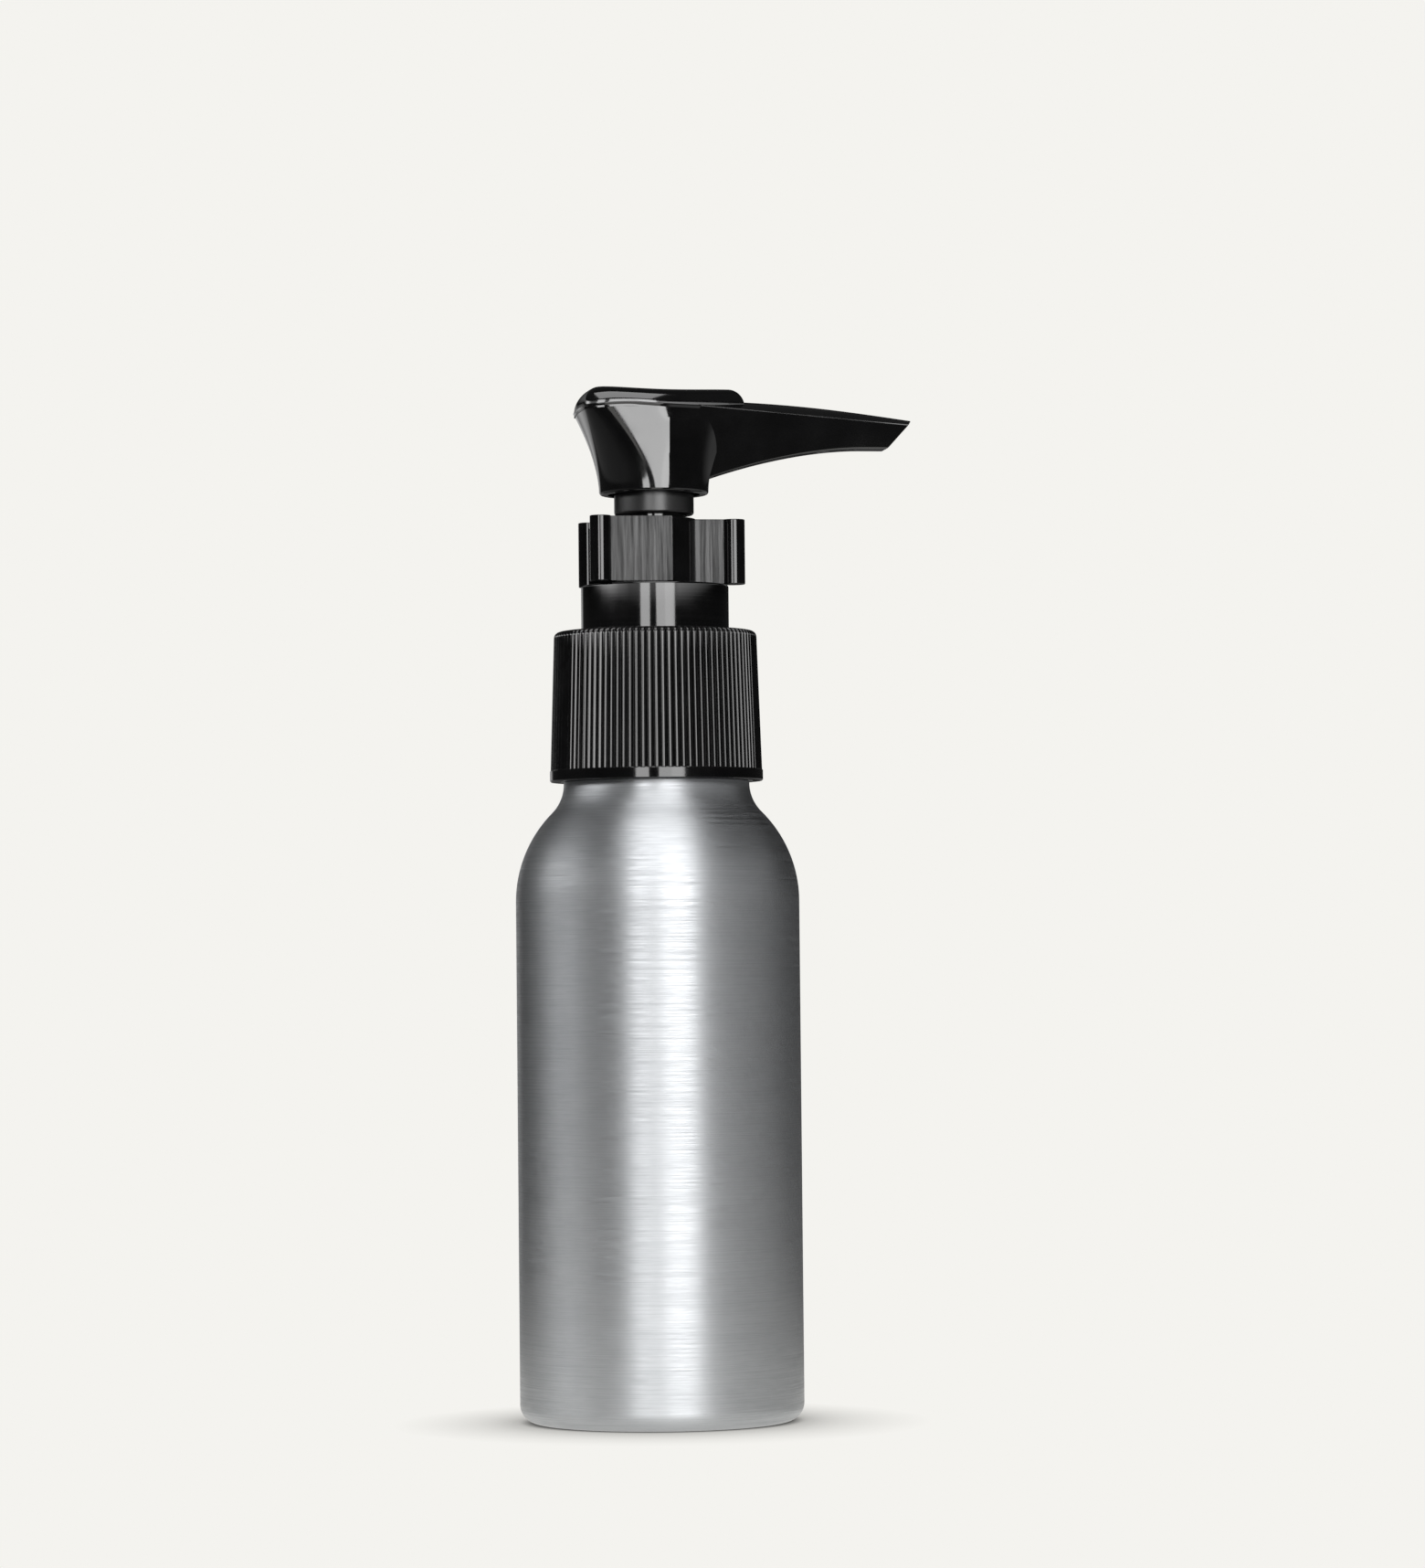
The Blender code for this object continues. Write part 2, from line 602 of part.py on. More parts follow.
def make_clip(parent):
    half = clip_half()
    other = [(x, -y) for x, y in reversed(half[1:-1])]
    plan = half + other
    rings = [[(x, y, height) for x, y in plan] for height in (0, CLIP_HEIGHT)]
    return to_object("lock_clip", lofted(rings), BLACK_SATIN, CLIP_SEAT, parent)


def line(start, end, steps):
    return [(between(start[0], end[0], s), between(start[1], end[1], s)) for s in shares(steps)]


# Half of the head's plan at its rim, with the skirt's angle and the flare that go with each point
def head_half():
    corner_centre = (-REAR_REACH + REAR_CORNER, REAR_HALF - REAR_CORNER)
    corner = arc(corner_centre, REAR_CORNER, 180, CORNER_TURN, 4)
    widest = (WIDEST_X, WIDEST_HALF)
    front = (FRONT_X, FRONT_HALF)
    widest_angle = math.degrees(math.acos(WIDEST_X / SKIRT_RADIUS))
    stretches = [
        (line((-REAR_REACH, 0), corner[0], REAR_STEPS), 180, REAR_TURN, REAR_FLARE, REAR_FLARE),
        (corner, REAR_TURN, CORNER_TURN, REAR_FLARE, REAR_FLARE),
        (line(corner[-1], widest, 7), CORNER_TURN, widest_angle, REAR_FLARE, SIDE_FLARE),
        (line(widest, front, 5), widest_angle, FRONT_TURN, SIDE_FLARE, SIDE_FLARE),
        (line(front, (FRONT_X, 0), FRONT_STEPS), FRONT_TURN, 0, FRONT_FLARE, FRONT_FLARE),
    ]
    half = []
    for points, start, end, flare_start, flare_end in stretches:
        kept = points if not half else points[1:]
        for place, point in enumerate(kept):
            share = (place + len(points) - len(kept)) / (len(points) - 1)
            angle = math.radians(between(start, end, share))
            half.append((point, angle, between(flare_start, flare_end, share)))
    return half


# Body of the head: from the round skirt to the rim's outline, hollowing outwards at the rear
def head_body():
    half = head_half()
    rings = []
    rows = [(0, SKIRT_RADIUS - SKIRT_BEVEL, 0), (0, SKIRT_RADIUS, SKIRT_BEVEL)]
    rows += [(share, SKIRT_RADIUS, between(SKIRT_BEVEL, RIM_HEIGHT, share)) for share in shares(9)[1:]]
    for share, radius, height in rows:
        ring = []
        for (x, y), angle, flare in half:
            bend = share**flare
            ring.append(
                (
                    between(radius * math.cos(angle), x, bend),
                    between(radius * math.sin(angle), y, bend),
                    height,
                )
            )
        ring += [(x, -y, z) for x, y, z in reversed(ring[1:-1])]
        rings.append(ring)
    return lofted(rings)


# Height of the thumb pad above the rim: low in the middle, higher at both ends
def thumb_rise(x):
    if x < THUMB_DIP_X:
        share = (THUMB_DIP_X - x) / (THUMB_DIP_X + REAR_REACH)
        return between(THUMB_DIP_RISE, THUMB_REAR_RISE, math.sin(share * math.pi / 2) ** 2)
    share = (x - THUMB_DIP_X) / (THUMB_FRONT_X - THUMB_DIP_X)
    return between(THUMB_DIP_RISE, THUMB_FRONT_RISE, math.sin(share * math.pi / 2) ** 2)


# Thumb pad: the rim's outline drawn in step by step while it rises and rounds over
def thumb_pad():
    corner_centre = (-REAR_REACH + REAR_CORNER, REAR_HALF - REAR_CORNER)
    half = line((-REAR_REACH, 0), (-REAR_REACH, REAR_HALF - REAR_CORNER), REAR_STEPS)
    half += arc(corner_centre, REAR_CORNER, 180, CORNER_TURN, 3)[1:]
    half += line(half[-1], (WIDEST_X, WIDEST_HALF), 5)[1:]
    half += line((WIDEST_X, WIDEST_HALF), (THUMB_FRONT_X, THUMB_FRONT_HALF), 6)[1:]
    half += line((THUMB_FRONT_X, THUMB_FRONT_HALF), (THUMB_FRONT_X, 0), FRONT_STEPS)[1:]
    middle = (THUMB_FRONT_X - REAR_REACH) / 2
    length = (THUMB_FRONT_X + REAR_REACH) / 2
    steps = [(THUMB_EDGE, -SINK, 0), (THUMB_EDGE, 0, 0)]
    for turn in THUMB_TURNS:
        angle = math.radians(turn)
        steps.append((THUMB_EDGE + THUMB_SLOPE * (1 - math.cos(angle)), 0, math.sin(angle)))
    rings = []
    for inset, drop, rise in steps:
        ring = []
        for x, y in half:
            shrink_x = (length - inset) / length
            shrink_y = (WIDEST_HALF - inset) / WIDEST_HALF
            place = middle + (x - middle) * shrink_x
            ring.append((place, y * shrink_y, drop + rise * thumb_rise(place)))
        ring += [(x, -y, z) for x, y, z in reversed(ring[1:-1])]
        rings.append(ring)
    mesh = lofted(rings)
    # The flat lid becomes a saddle: its faces run from side to side and follow the pad's height
    bmesh.ops.delete(mesh, geom=[mesh.faces[-1]], context="FACES_ONLY")
    mesh.verts.ensure_lookup_table()
    corners = mesh.verts[-len(rings[-1]) :]
    count = len(half)
    near = corners[:count]
    far = [corners[-place] for place in range(count - 1)] + [near[-1]]
    front = count - 1 - FRONT_STEPS
    mesh.faces.new(near[: REAR_STEPS + 2] + far[REAR_STEPS + 1 : 0 : -1])
    for place in range(REAR_STEPS + 1, front - 1):
        mesh.faces.new((near[place], near[place + 1], far[place + 1], far[place]))
    mesh.faces.new(near[front - 1 :] + far[-2 : front - count - 2 : -1])
    return mesh


def under_height(x):
    share = (x - UNDER_START_X) / (UNDER_END_X - UNDER_START_X)
    return UNDER_START_HEIGHT + UNDER_RISE * (1 - max(1 - share, 0) ** 2)


# Nozzle: sections across it from inside the body to the slanted tip
def nozzle():
    rings = []
    for share in shares(12):
        x = between(NOZZLE_ROOT_X, NOZZLE_TIP_X, share)
        half = NOZZLE_TIP_HALF + (NOZZLE_ROOT_HALF - NOZZLE_TIP_HALF) * (1 - share) ** NOZZLE_TAPER
        rim = RIM_HEIGHT - NOZZLE_RIM_DROP * share
        roof = between(NOZZLE_ROOF_ROOT, NOZZLE_ROOF_TIP, share)
        roof += NOZZLE_ROOF_MIDDLE * math.sin(share * math.pi)
        under = under_height(x)
        section = [(0, under), (NOZZLE_UNDER_HALF - NOZZLE_UNDER_EDGE, under)]
        section += [(NOZZLE_UNDER_HALF, under + NOZZLE_UNDER_EDGE / 2)]
        section += line(section[-1], (half, rim), 3)[1:]
        section += [(half * (1 - step), rim + roof * (1 - (1 - step) ** 2)) for step in shares(4)[1:]]
        section += [(-y, z) for y, z in reversed(section[1:-1])]
        lean = TIP_SLANT * share**TIP_SLANT_POWER
        rings.append([(x - lean * (rim + roof - z) / (rim + roof - under), y, z) for y, z in section])
    return lofted(rings)


# Head: skirt, flared body, thumb pad and nozzle in one moulding, with the hub inside the skirt
def make_head(parent):
    head = to_object("actuator_head", head_body(), BLACK_GLOSS, SKIRT_BOTTOM, parent)
    joined = [
        to_object("thumb_pad", thumb_pad(), BLACK_GLOSS, SKIRT_BOTTOM + RIM_HEIGHT, parent),
        to_object("nozzle", nozzle(), BLACK_GLOSS, SKIRT_BOTTOM, parent),
    ]
    combine(head, joined, "UNION")
    recess = [
        (HUB_RADIUS, -OVERRUN),
        (SKIRT_RADIUS - SKIRT_WALL, -OVERRUN),
        (SKIRT_RADIUS - SKIRT_WALL, SKIRT_RECESS),
        (HUB_RADIUS, SKIRT_RECESS),
    ]
    ring = to_object("recess", turned(recess, ROUND_SIDES), BLACK_GLOSS, SKIRT_BOTTOM, parent)
    combine(head, [ring], "DIFFERENCE")
    hub_outline = [(0, 0)]
    hub_outline += arc((HUB_RADIUS - HUB_EDGE, HUB_EDGE), HUB_EDGE, -90, 0, 3)
    hub_outline += [(HUB_RADIUS, HUB_DROP + SKIRT_RECESS + SINK), (0, HUB_DROP + SKIRT_RECESS + SINK)]
    hub = to_object("hub", turned(hub_outline, ROUND_SIDES), BLACK_GLOSS, HUB_BOTTOM, parent)
    combine(head, [hub], "UNION")
    socket_outline = [
        (0, -OVERRUN),
        (STEM_RADIUS + SEAT_GAP, -OVERRUN),
        (STEM_RADIUS + SEAT_GAP, HUB_SOCKET),
        (CHANNEL_RADIUS, HUB_SOCKET),
        (CHANNEL_RADIUS, HUB_DROP + CHANNEL_HEIGHT),
        (0, HUB_DROP + CHANNEL_HEIGHT),
    ]
    socket = to_object("socket", turned(socket_outline, ROUND_SIDES), BLACK_GLOSS, HUB_BOTTOM, parent)
    run = NOZZLE_TIP_X + OVERRUN
    slope = math.atan2(OUTLET_HEIGHT - CHANNEL_HEIGHT, NOZZLE_TIP_X)
    mesh = bmesh.new()
    bmesh.ops.create_cone(
        mesh,
        cap_ends=True,
        segments=SMALL_SIDES // 2,
        radius1=CHANNEL_RADIUS,
        radius2=CHANNEL_RADIUS,
        depth=run,
    )
    channel = to_object("channel", mesh, BLACK_GLOSS, SKIRT_BOTTOM, parent)
    channel.rotation_euler.y = math.radians(90) - slope
    channel.location.x = run / 2
    channel.location.z += between(CHANNEL_HEIGHT, OUTLET_HEIGHT, 0.5)
    combine(head, [socket, channel], "DIFFERENCE")
    return head


def build():
    clear_scene()
    bottle = group("bottle_axis")
    pump = group("pump_axis", bottle)
    piston = group("piston_axis", pump)
    head = group("head_axis", piston)
    clip = group("clip_axis", pump)
    make_bottle(bottle)
    make_closure(pump)
    make_collar(pump)
    make_gasket(pump)
    make_barrel(pump)
    make_dip_tube(pump)
    make_spring(pump)
    make_ball(pump)
    make_piston(piston)
    make_rod(head)
    make_stem(head)
    make_head(head)
    make_clip(clip)


build()
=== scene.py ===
import math

import bpy
from mathutils import Euler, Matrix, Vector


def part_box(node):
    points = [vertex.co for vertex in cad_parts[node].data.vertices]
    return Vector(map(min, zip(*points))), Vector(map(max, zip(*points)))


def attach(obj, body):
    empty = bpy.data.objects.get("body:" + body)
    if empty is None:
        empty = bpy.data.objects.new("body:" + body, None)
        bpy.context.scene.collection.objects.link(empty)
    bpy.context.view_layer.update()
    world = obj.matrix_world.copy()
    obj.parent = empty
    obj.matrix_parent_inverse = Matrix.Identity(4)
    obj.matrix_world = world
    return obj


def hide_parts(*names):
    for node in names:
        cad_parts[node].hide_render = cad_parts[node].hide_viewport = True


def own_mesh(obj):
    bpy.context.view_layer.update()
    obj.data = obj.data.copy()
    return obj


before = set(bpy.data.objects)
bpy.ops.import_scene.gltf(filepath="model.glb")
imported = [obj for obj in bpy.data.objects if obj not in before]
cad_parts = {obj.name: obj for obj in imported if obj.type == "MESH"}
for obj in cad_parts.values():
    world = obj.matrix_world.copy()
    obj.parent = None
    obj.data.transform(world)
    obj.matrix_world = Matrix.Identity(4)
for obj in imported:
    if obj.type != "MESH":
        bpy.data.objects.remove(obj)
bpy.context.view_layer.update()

mm = 0.001
seatGap = 0.2  # seated pieces lie this far apart, in mm
weldGap = 0.0005  # points closer than this, in mm, become one


# Choosing and editing

def dropAll():
    bpy.ops.object.select_all(action="DESELECT")


def pick(piece):
    dropAll()
    piece.select_set(True)
    bpy.context.view_layer.objects.active = piece


def startEdit(piece, mode="VERT"):
    pick(piece)
    bpy.ops.object.mode_set(mode="EDIT")
    bpy.ops.mesh.select_mode(type=mode)
    bpy.ops.mesh.select_all(action="DESELECT")


def endEdit():
    bpy.ops.object.mode_set(mode="OBJECT")


def chooseMembers(piece, members):
    bpy.ops.mesh.select_mode(type="VERT")
    bpy.ops.mesh.select_all(action="DESELECT")
    bpy.ops.object.mode_set(mode="OBJECT")
    for member in members:
        piece.data.vertices[member].select = True
    bpy.ops.object.mode_set(mode="EDIT")
    bpy.ops.mesh.select_mode(type="VERT")  # carries the choice on to edges and faces


def chooseFaces(piece, test):
    bpy.ops.object.mode_set(mode="OBJECT")
    for group in (piece.data.vertices, piece.data.edges):
        for item in group:
            item.select = False
    for face in piece.data.polygons:
        face.select = test(face.center, face.normal)
    bpy.ops.object.mode_set(mode="EDIT")


def addStep(piece, kind, **settings):  # one modifier, applied at once
    pick(piece)
    step = piece.modifiers.new(kind.lower(), kind)
    for name, value in settings.items():
        setattr(step, name, value)
    bpy.ops.object.modifier_apply(modifier=step.name)


def combine(piece, other, operation):  # the other shape is used up
    addStep(piece, "BOOLEAN", operation=operation, solver="EXACT", object=other)
    bpy.data.objects.remove(other)


def smoothen(piece, angle):
    pick(piece)
    bpy.ops.object.shade_smooth_by_angle(angle=math.radians(angle))


def cleanUp(piece, angle):
    startEdit(piece)
    bpy.ops.mesh.select_all(action="SELECT")
    bpy.ops.mesh.remove_doubles(threshold=weldGap * mm)
    bpy.ops.mesh.normals_make_consistent(inside=False)
    endEdit()
    smoothen(piece, angle)


def mixed(start, end, share):
    return start + (end - start) * share


def arcOf(centre, radius, start, end, steps):  # points on a circle, angles in degrees
    turns = [math.radians(start + (end - start) * step / steps) for step in range(steps + 1)]
    return [(centre[0] + radius * math.cos(t), centre[1] + radius * math.sin(t)) for t in turns]


def lineOf(start, end, steps):
    shares = [step / steps for step in range(steps + 1)]
    return [tuple(mixed(a, b, share) for a, b in zip(start, end)) for share in shares]


def drawn(name, points):  # a line drawn by extruding one vertex from point to point, in mm
    dropAll()
    bpy.ops.mesh.primitive_plane_add(size=mm)
    piece = bpy.context.object
    piece.name = name
    piece.data.name = name
    bpy.ops.object.mode_set(mode="EDIT")
    bpy.ops.mesh.select_mode(type="VERT")
    bpy.ops.mesh.select_all(action="SELECT")
    bpy.ops.mesh.merge(type="CENTER")
    bpy.ops.transform.translate(value=[c * mm for c in points[0]])
    for last, point in zip(points, points[1:]):
        step = [(b - a) * mm for a, b in zip(last, point)]
        bpy.ops.mesh.extrude_region_move(TRANSFORM_OT_translate={"value": step})
    return piece


def turned(name, outline, sides, angle=30):  # outline of (radius, height) points spun about Z
    piece = drawn(name, [(r, 0, z) for r, z in outline])
    bpy.ops.mesh.select_all(action="SELECT")
    bpy.ops.mesh.spin(steps=sides, angle=math.tau, center=(0, 0, 0), axis=(0, 0, 1))
    endEdit()
    cleanUp(piece, angle)
    return piece


def closed(outline):
    return outline + outline[:1]


# Materials. In each look, a noise is its stretch along X, Y and Z, its scale, detail and roughness,
# a roughSpan is the roughness at both ends and the noise values of those ends,
# and a relief is its depth in mm and its strength.

def newMaterial(name, colour, rough, metal=0.0):
    made = bpy.data.materials.new(name)
    made.use_nodes = True
    shader = made.node_tree.nodes["Principled BSDF"]
    shader.inputs["Base Color"].default_value = (*colour, 1)
    shader.inputs["Roughness"].default_value = rough
    shader.inputs["Metallic"].default_value = metal
    return made, shader


def addNode(made, kind, **values):
    node = made.node_tree.nodes.new(kind)
    for name, value in values.items():
        if name in node.inputs:
            node.inputs[name].default_value = value
        else:
            setattr(node, name, value)
    return node


def join(made, source, target):
    made.node_tree.links.new(source, target)


def feed(made, value, target):  # a plain number is set, and an output is linked
    if isinstance(value, (int, float)):
        target.default_value = value
    else:
        join(made, value, target)


def noise(made, stretch, scale, detail, rough):
    place = addNode(made, "ShaderNodeTexCoord")
    mapping = addNode(made, "ShaderNodeMapping", Scale=stretch)
    join(made, place.outputs["Object"], mapping.inputs["Vector"])
    node = addNode(made, "ShaderNodeTexNoise", Scale=scale, Detail=detail, Roughness=rough)
    join(made, mapping.outputs["Vector"], node.inputs["Vector"])
    return node.outputs["Fac"]


def spread(made, value, low, high, start=0.0, end=1.0):
    node = addNode(made, "ShaderNodeMapRange")
    node.inputs["From Min"].default_value = start
    node.inputs["From Max"].default_value = end
    node.inputs["To Min"].default_value = low
    node.inputs["To Max"].default_value = high
    join(made, value, node.inputs["Value"])
    return node.outputs["Result"]


def math2(made, kind, first, second):
    node = addNode(made, "ShaderNodeMath", operation=kind)
    for value, target in zip((first, second), node.inputs):
        feed(made, value, target)
    return node.outputs["Value"]


def weighted(made, first, second, shares):
    parts = [math2(made, "MULTIPLY", value, share) for value, share in zip((first, second), shares)]
    return math2(made, "ADD", *parts)


def ramp(made, value, stops):
    node = addNode(made, "ShaderNodeValToRGB")
    band = node.color_ramp
    while len(band.elements) < len(stops):
        band.elements.new(0.5)
    for element, (place, colour) in zip(band.elements, stops):
        element.position = place
        element.color = (*colour, 1)
    join(made, value, node.inputs["Fac"])
    return node.outputs["Color"]


def addFinish(made, shader, look, tone, dulling, height):  # colour, roughness and relief, each from its noise
    stops = list(zip(look["tintStops"], look["tints"]))
    join(made, ramp(made, tone, stops), shader.inputs["Base Color"])
    join(made, spread(made, dulling, *look["roughSpan"]), shader.inputs["Roughness"])
    depth, strength = look["relief"]
    node = addNode(made, "ShaderNodeBump", Strength=strength, Distance=depth * mm)
    join(made, height, node.inputs["Height"])
    join(made, node.outputs["Normal"], shader.inputs["Normal"])


# Brushed metal: fine rings round the axis, broken up along their length, and a slow mottle
def brushedAluminium():
    look = {
        "colour": (0.476, 0.489, 0.504),
        "tints": ((0.425, 0.438, 0.454), (0.476, 0.489, 0.504), (0.525, 0.539, 0.554)),
        "tintStops": (0.34, 0.52, 0.68),
        "rough": 0.42,
        "roughSpan": (0.62, 0.35, 0.36, 0.64),
        "stretch": 0.7,  # how much further the highlight spreads across the rings than along them
        "turn": 0.25,  # a quarter turn, so that it spreads upwards
        "rings": ((70, 70, 15000), 1.0, 3.0, 0.6),
        "scratches": ((420, 420, 8200), 1.0, 3.0, 0.55),
        "mottle": ((1, 1, 2.2), 140.0, 4.0, 0.65),
        "brushShares": (0.75, 0.25),
        "toneShares": (0.7, 0.3),
        "relief": (0.001, 0.3),
    }
    made, shader = newMaterial("brushedAluminium", look["colour"], look["rough"], 1.0)
    shader.inputs["Anisotropic"].default_value = look["stretch"]
    shader.inputs["Anisotropic Rotation"].default_value = look["turn"]
    tangent = addNode(made, "ShaderNodeTangent", direction_type="RADIAL", axis="Z")
    join(made, tangent.outputs["Tangent"], shader.inputs["Tangent"])
    rings = noise(made, *look["rings"])
    scratches = noise(made, *look["scratches"])
    mottle = noise(made, *look["mottle"])
    brushing = weighted(made, rings, scratches, look["brushShares"])
    tone = weighted(made, brushing, mottle, look["toneShares"])
    addFinish(made, shader, look, tone, brushing, brushing)
    return made


black = {
    "colour": (0.003, 0.003, 0.0033),
    "tints": ((0.0014, 0.0014, 0.0015), (0.003, 0.003, 0.0032)),
    "tintStops": (0.35, 0.7),
    "bending": 1.56,  # its index of refraction
    "shine": 0.62,
}


def newBlack(name, rough, shine):
    made, shader = newMaterial(name, black["colour"], rough)
    shader.inputs["IOR"].default_value = black["bending"]
    shader.inputs["Specular IOR Level"].default_value = shine
    return made, shader


# Polished black moulding: a faint waviness, and a film of handling marks that dulls it here and there
def blackGloss(name, rough, wave, shine):
    look = {
        **black,
        "film": ((1, 1, 1), 160.0, 5.0, 0.62),
        "waves": ((1, 1, 1), 420.0, 2.0, 0.4),
        "roughSpan": (rough - 0.03, rough + 0.06, 0.35, 0.75),
        "relief": (0.006, wave),
    }
    made, shader = newBlack(name, rough, shine)
    film = noise(made, *look["film"])
    addFinish(made, shader, look, film, film, noise(made, *look["waves"]))
    return made


# Black moulding with turning marks from its mould, in fine rings
def blackTurned():
    look = {
        **black,
        "rough": 0.1,
        "rings": ((10, 10, 2400), 1.0, 3.0, 0.6),
        "film": ((1, 1, 1), 240.0, 4.0, 0.6),
        "roughSpan": (0.06, 0.12, 0.3, 0.75),
        "relief": (0.004, 0.4),
    }
    made, shader = newBlack("blackTurned", look["rough"], look["shine"])
    rings = noise(made, *look["rings"])
    addFinish(made, shader, look, rings, noise(made, *look["film"]), rings)
    return made


# Grip faces: fine upright drawn lines that catch the light in streaks
def blackGrip():
    look = {
        "colour": (0.03, 0.03, 0.031),
        "tints": ((0.005, 0.005, 0.0053), (0.032, 0.032, 0.033)),
        "tintStops": (0.4, 0.62),
        "rough": 0.42,
        "roughSpan": (0.6, 0.32, 0.4, 0.6),
        "shine": 0.5,
        "lines": ((3400, 3400, 130), 1.0, 3.0, 0.62),
        "broad": ((1000, 1000, 45), 1.0, 2.0, 0.5),
        "shares": (0.55, 0.45),
        "relief": (0.03, 0.8),
    }
    made, shader = newMaterial("blackGrip", look["colour"], look["rough"])
    shader.inputs["Specular IOR Level"].default_value = look["shine"]
    lines = noise(made, *look["lines"])
    streaks = weighted(made, lines, noise(made, *look["broad"]), look["shares"])
    addFinish(made, shader, look, streaks, streaks, streaks)
    return made


# Natural pump plastic: milky, so that light goes a little way into it, and softly clouded from moulding
def milky(name, colour, rough):
    look = {
        "tints": (tuple(c * 0.9 for c in colour), colour),
        "tintStops": (0.35, 0.65),
        "roughSpan": (rough - 0.06, rough + 0.08, 0.3, 0.7),
        "cloud": ((1, 1, 1), 180.0, 4.0, 0.6),
        "grain": ((1, 1, 1), 2600.0, 2.0, 0.5),
        "inside": (0.15, 1.0),  # how much light goes in, and how far in mm
        "relief": (0.01, 0.3),
    }
    made, shader = newMaterial(name, colour, rough)
    weight, depth = look["inside"]
    shader.inputs["Subsurface Weight"].default_value = weight
    shader.inputs["Subsurface Scale"].default_value = depth * mm
    cloud = noise(made, *look["cloud"])
    addFinish(made, shader, look, cloud, cloud, noise(made, *look["grain"]))
    return made


def rubberGrey():
    look = {
        "colour": (0.62, 0.62, 0.6),
        "tints": ((0.55, 0.55, 0.53), (0.66, 0.66, 0.64)),
        "tintStops": (0.35, 0.65),
        "rough": 0.7,
        "roughSpan": (0.62, 0.8, 0.3, 0.7),
        "grain": ((1, 1, 1), 3200.0, 4.0, 0.6),
        "relief": (0.02, 0.5),
    }
    made, shader = newMaterial("gasketRubber", look["colour"], look["rough"])
    grain = noise(made, *look["grain"])
    addFinish(made, shader, look, grain, grain, grain)
    return made


def drawnSteel():
    look = {
        "colour": (0.6, 0.6, 0.61),
        "tints": ((0.5, 0.5, 0.51), (0.68, 0.68, 0.69)),
        "tintStops": (0.35, 0.65),
        "rough": 0.24,
        "roughSpan": (0.18, 0.32, 0.3, 0.7),
        "lines": ((300, 300, 3000), 1.0, 3.0, 0.6),
        "relief": (0.004, 0.4),
    }
    made, shader = newMaterial("drawnSteel", look["colour"], look["rough"], 1.0)
    lines = noise(made, *look["lines"])
    addFinish(made, shader, look, lines, lines, lines)
    return made


def dress(piece, *materials):
    piece.data.materials.clear()
    for made in materials:
        piece.data.materials.append(made)


def dressPart(piece, test):  # the faces that pass the test take the second material
    startEdit(piece, "FACE")
    chooseFaces(piece, test)
    piece.active_material_index = 1
    bpy.ops.object.material_slot_assign()
    endEdit()


aluminium = brushedAluminium()
gloss = blackGloss("blackGloss", rough=0.08, wave=0.1, shine=0.55)
headGloss = blackGloss("headGloss", rough=0.09, wave=0.2, shine=0.8)
hubSatin = blackGloss("hubSatin", rough=0.32, wave=0.4, shine=black["shine"])
turnedBlack = blackTurned()
grip = blackGrip()
print("materials made")


# Camera: a little below the object's middle, and a little to the left of straight on
view = {
    "distance": 685.0,
    "height": 57.2,
    "azimuth": 7.7,  # degrees to the left of straight on
    "roll": 0.56,
    "focalPixels": 5900.0,
    "imageSize": (1560.0, 1716.0),
    "horizon": 1060.0,  # picture row of the camera's own height
    "axisColumn": 725.7,  # picture column of the bottle's axis at its base
    "rollShift": 7.0,  # columns that the roll moves the base by
    "sensor": 36.0,
    "clip": (0.01, 50),
}
azimuth = math.radians(view["azimuth"])


def placeCamera():
    eye = [-view["distance"] * math.sin(azimuth), -view["distance"] * math.cos(azimuth), view["height"]]
    dropAll()
    bpy.ops.object.camera_add(location=[c * mm for c in eye])
    camera = bpy.context.object
    camera.name = "photoCamera"
    wide, tall = view["imageSize"]
    pitch = math.atan((view["horizon"] - tall / 2) / view["focalPixels"])
    yaw = math.atan((wide / 2 - view["axisColumn"] + view["rollShift"]) / view["focalPixels"])
    camera.rotation_mode = "QUATERNION"
    turn = Euler((math.pi / 2 + pitch, 0, -azimuth - yaw), "XYZ").to_quaternion()
    roll = Euler((0, 0, math.radians(-view["roll"])), "XYZ").to_quaternion()
    camera.rotation_quaternion = turn @ roll
    camera.data.sensor_fit = "VERTICAL"
    camera.data.sensor_height = view["sensor"]
    camera.data.lens = view["sensor"] * view["focalPixels"] / tall
    camera.data.clip_start, camera.data.clip_end = view["clip"]
    bpy.context.scene.camera = camera
    bpy.context.scene.view_settings.view_transform = "Standard"


placeCamera()


# Studio. Sides are in degrees to the right of the camera, as seen from the bottle.

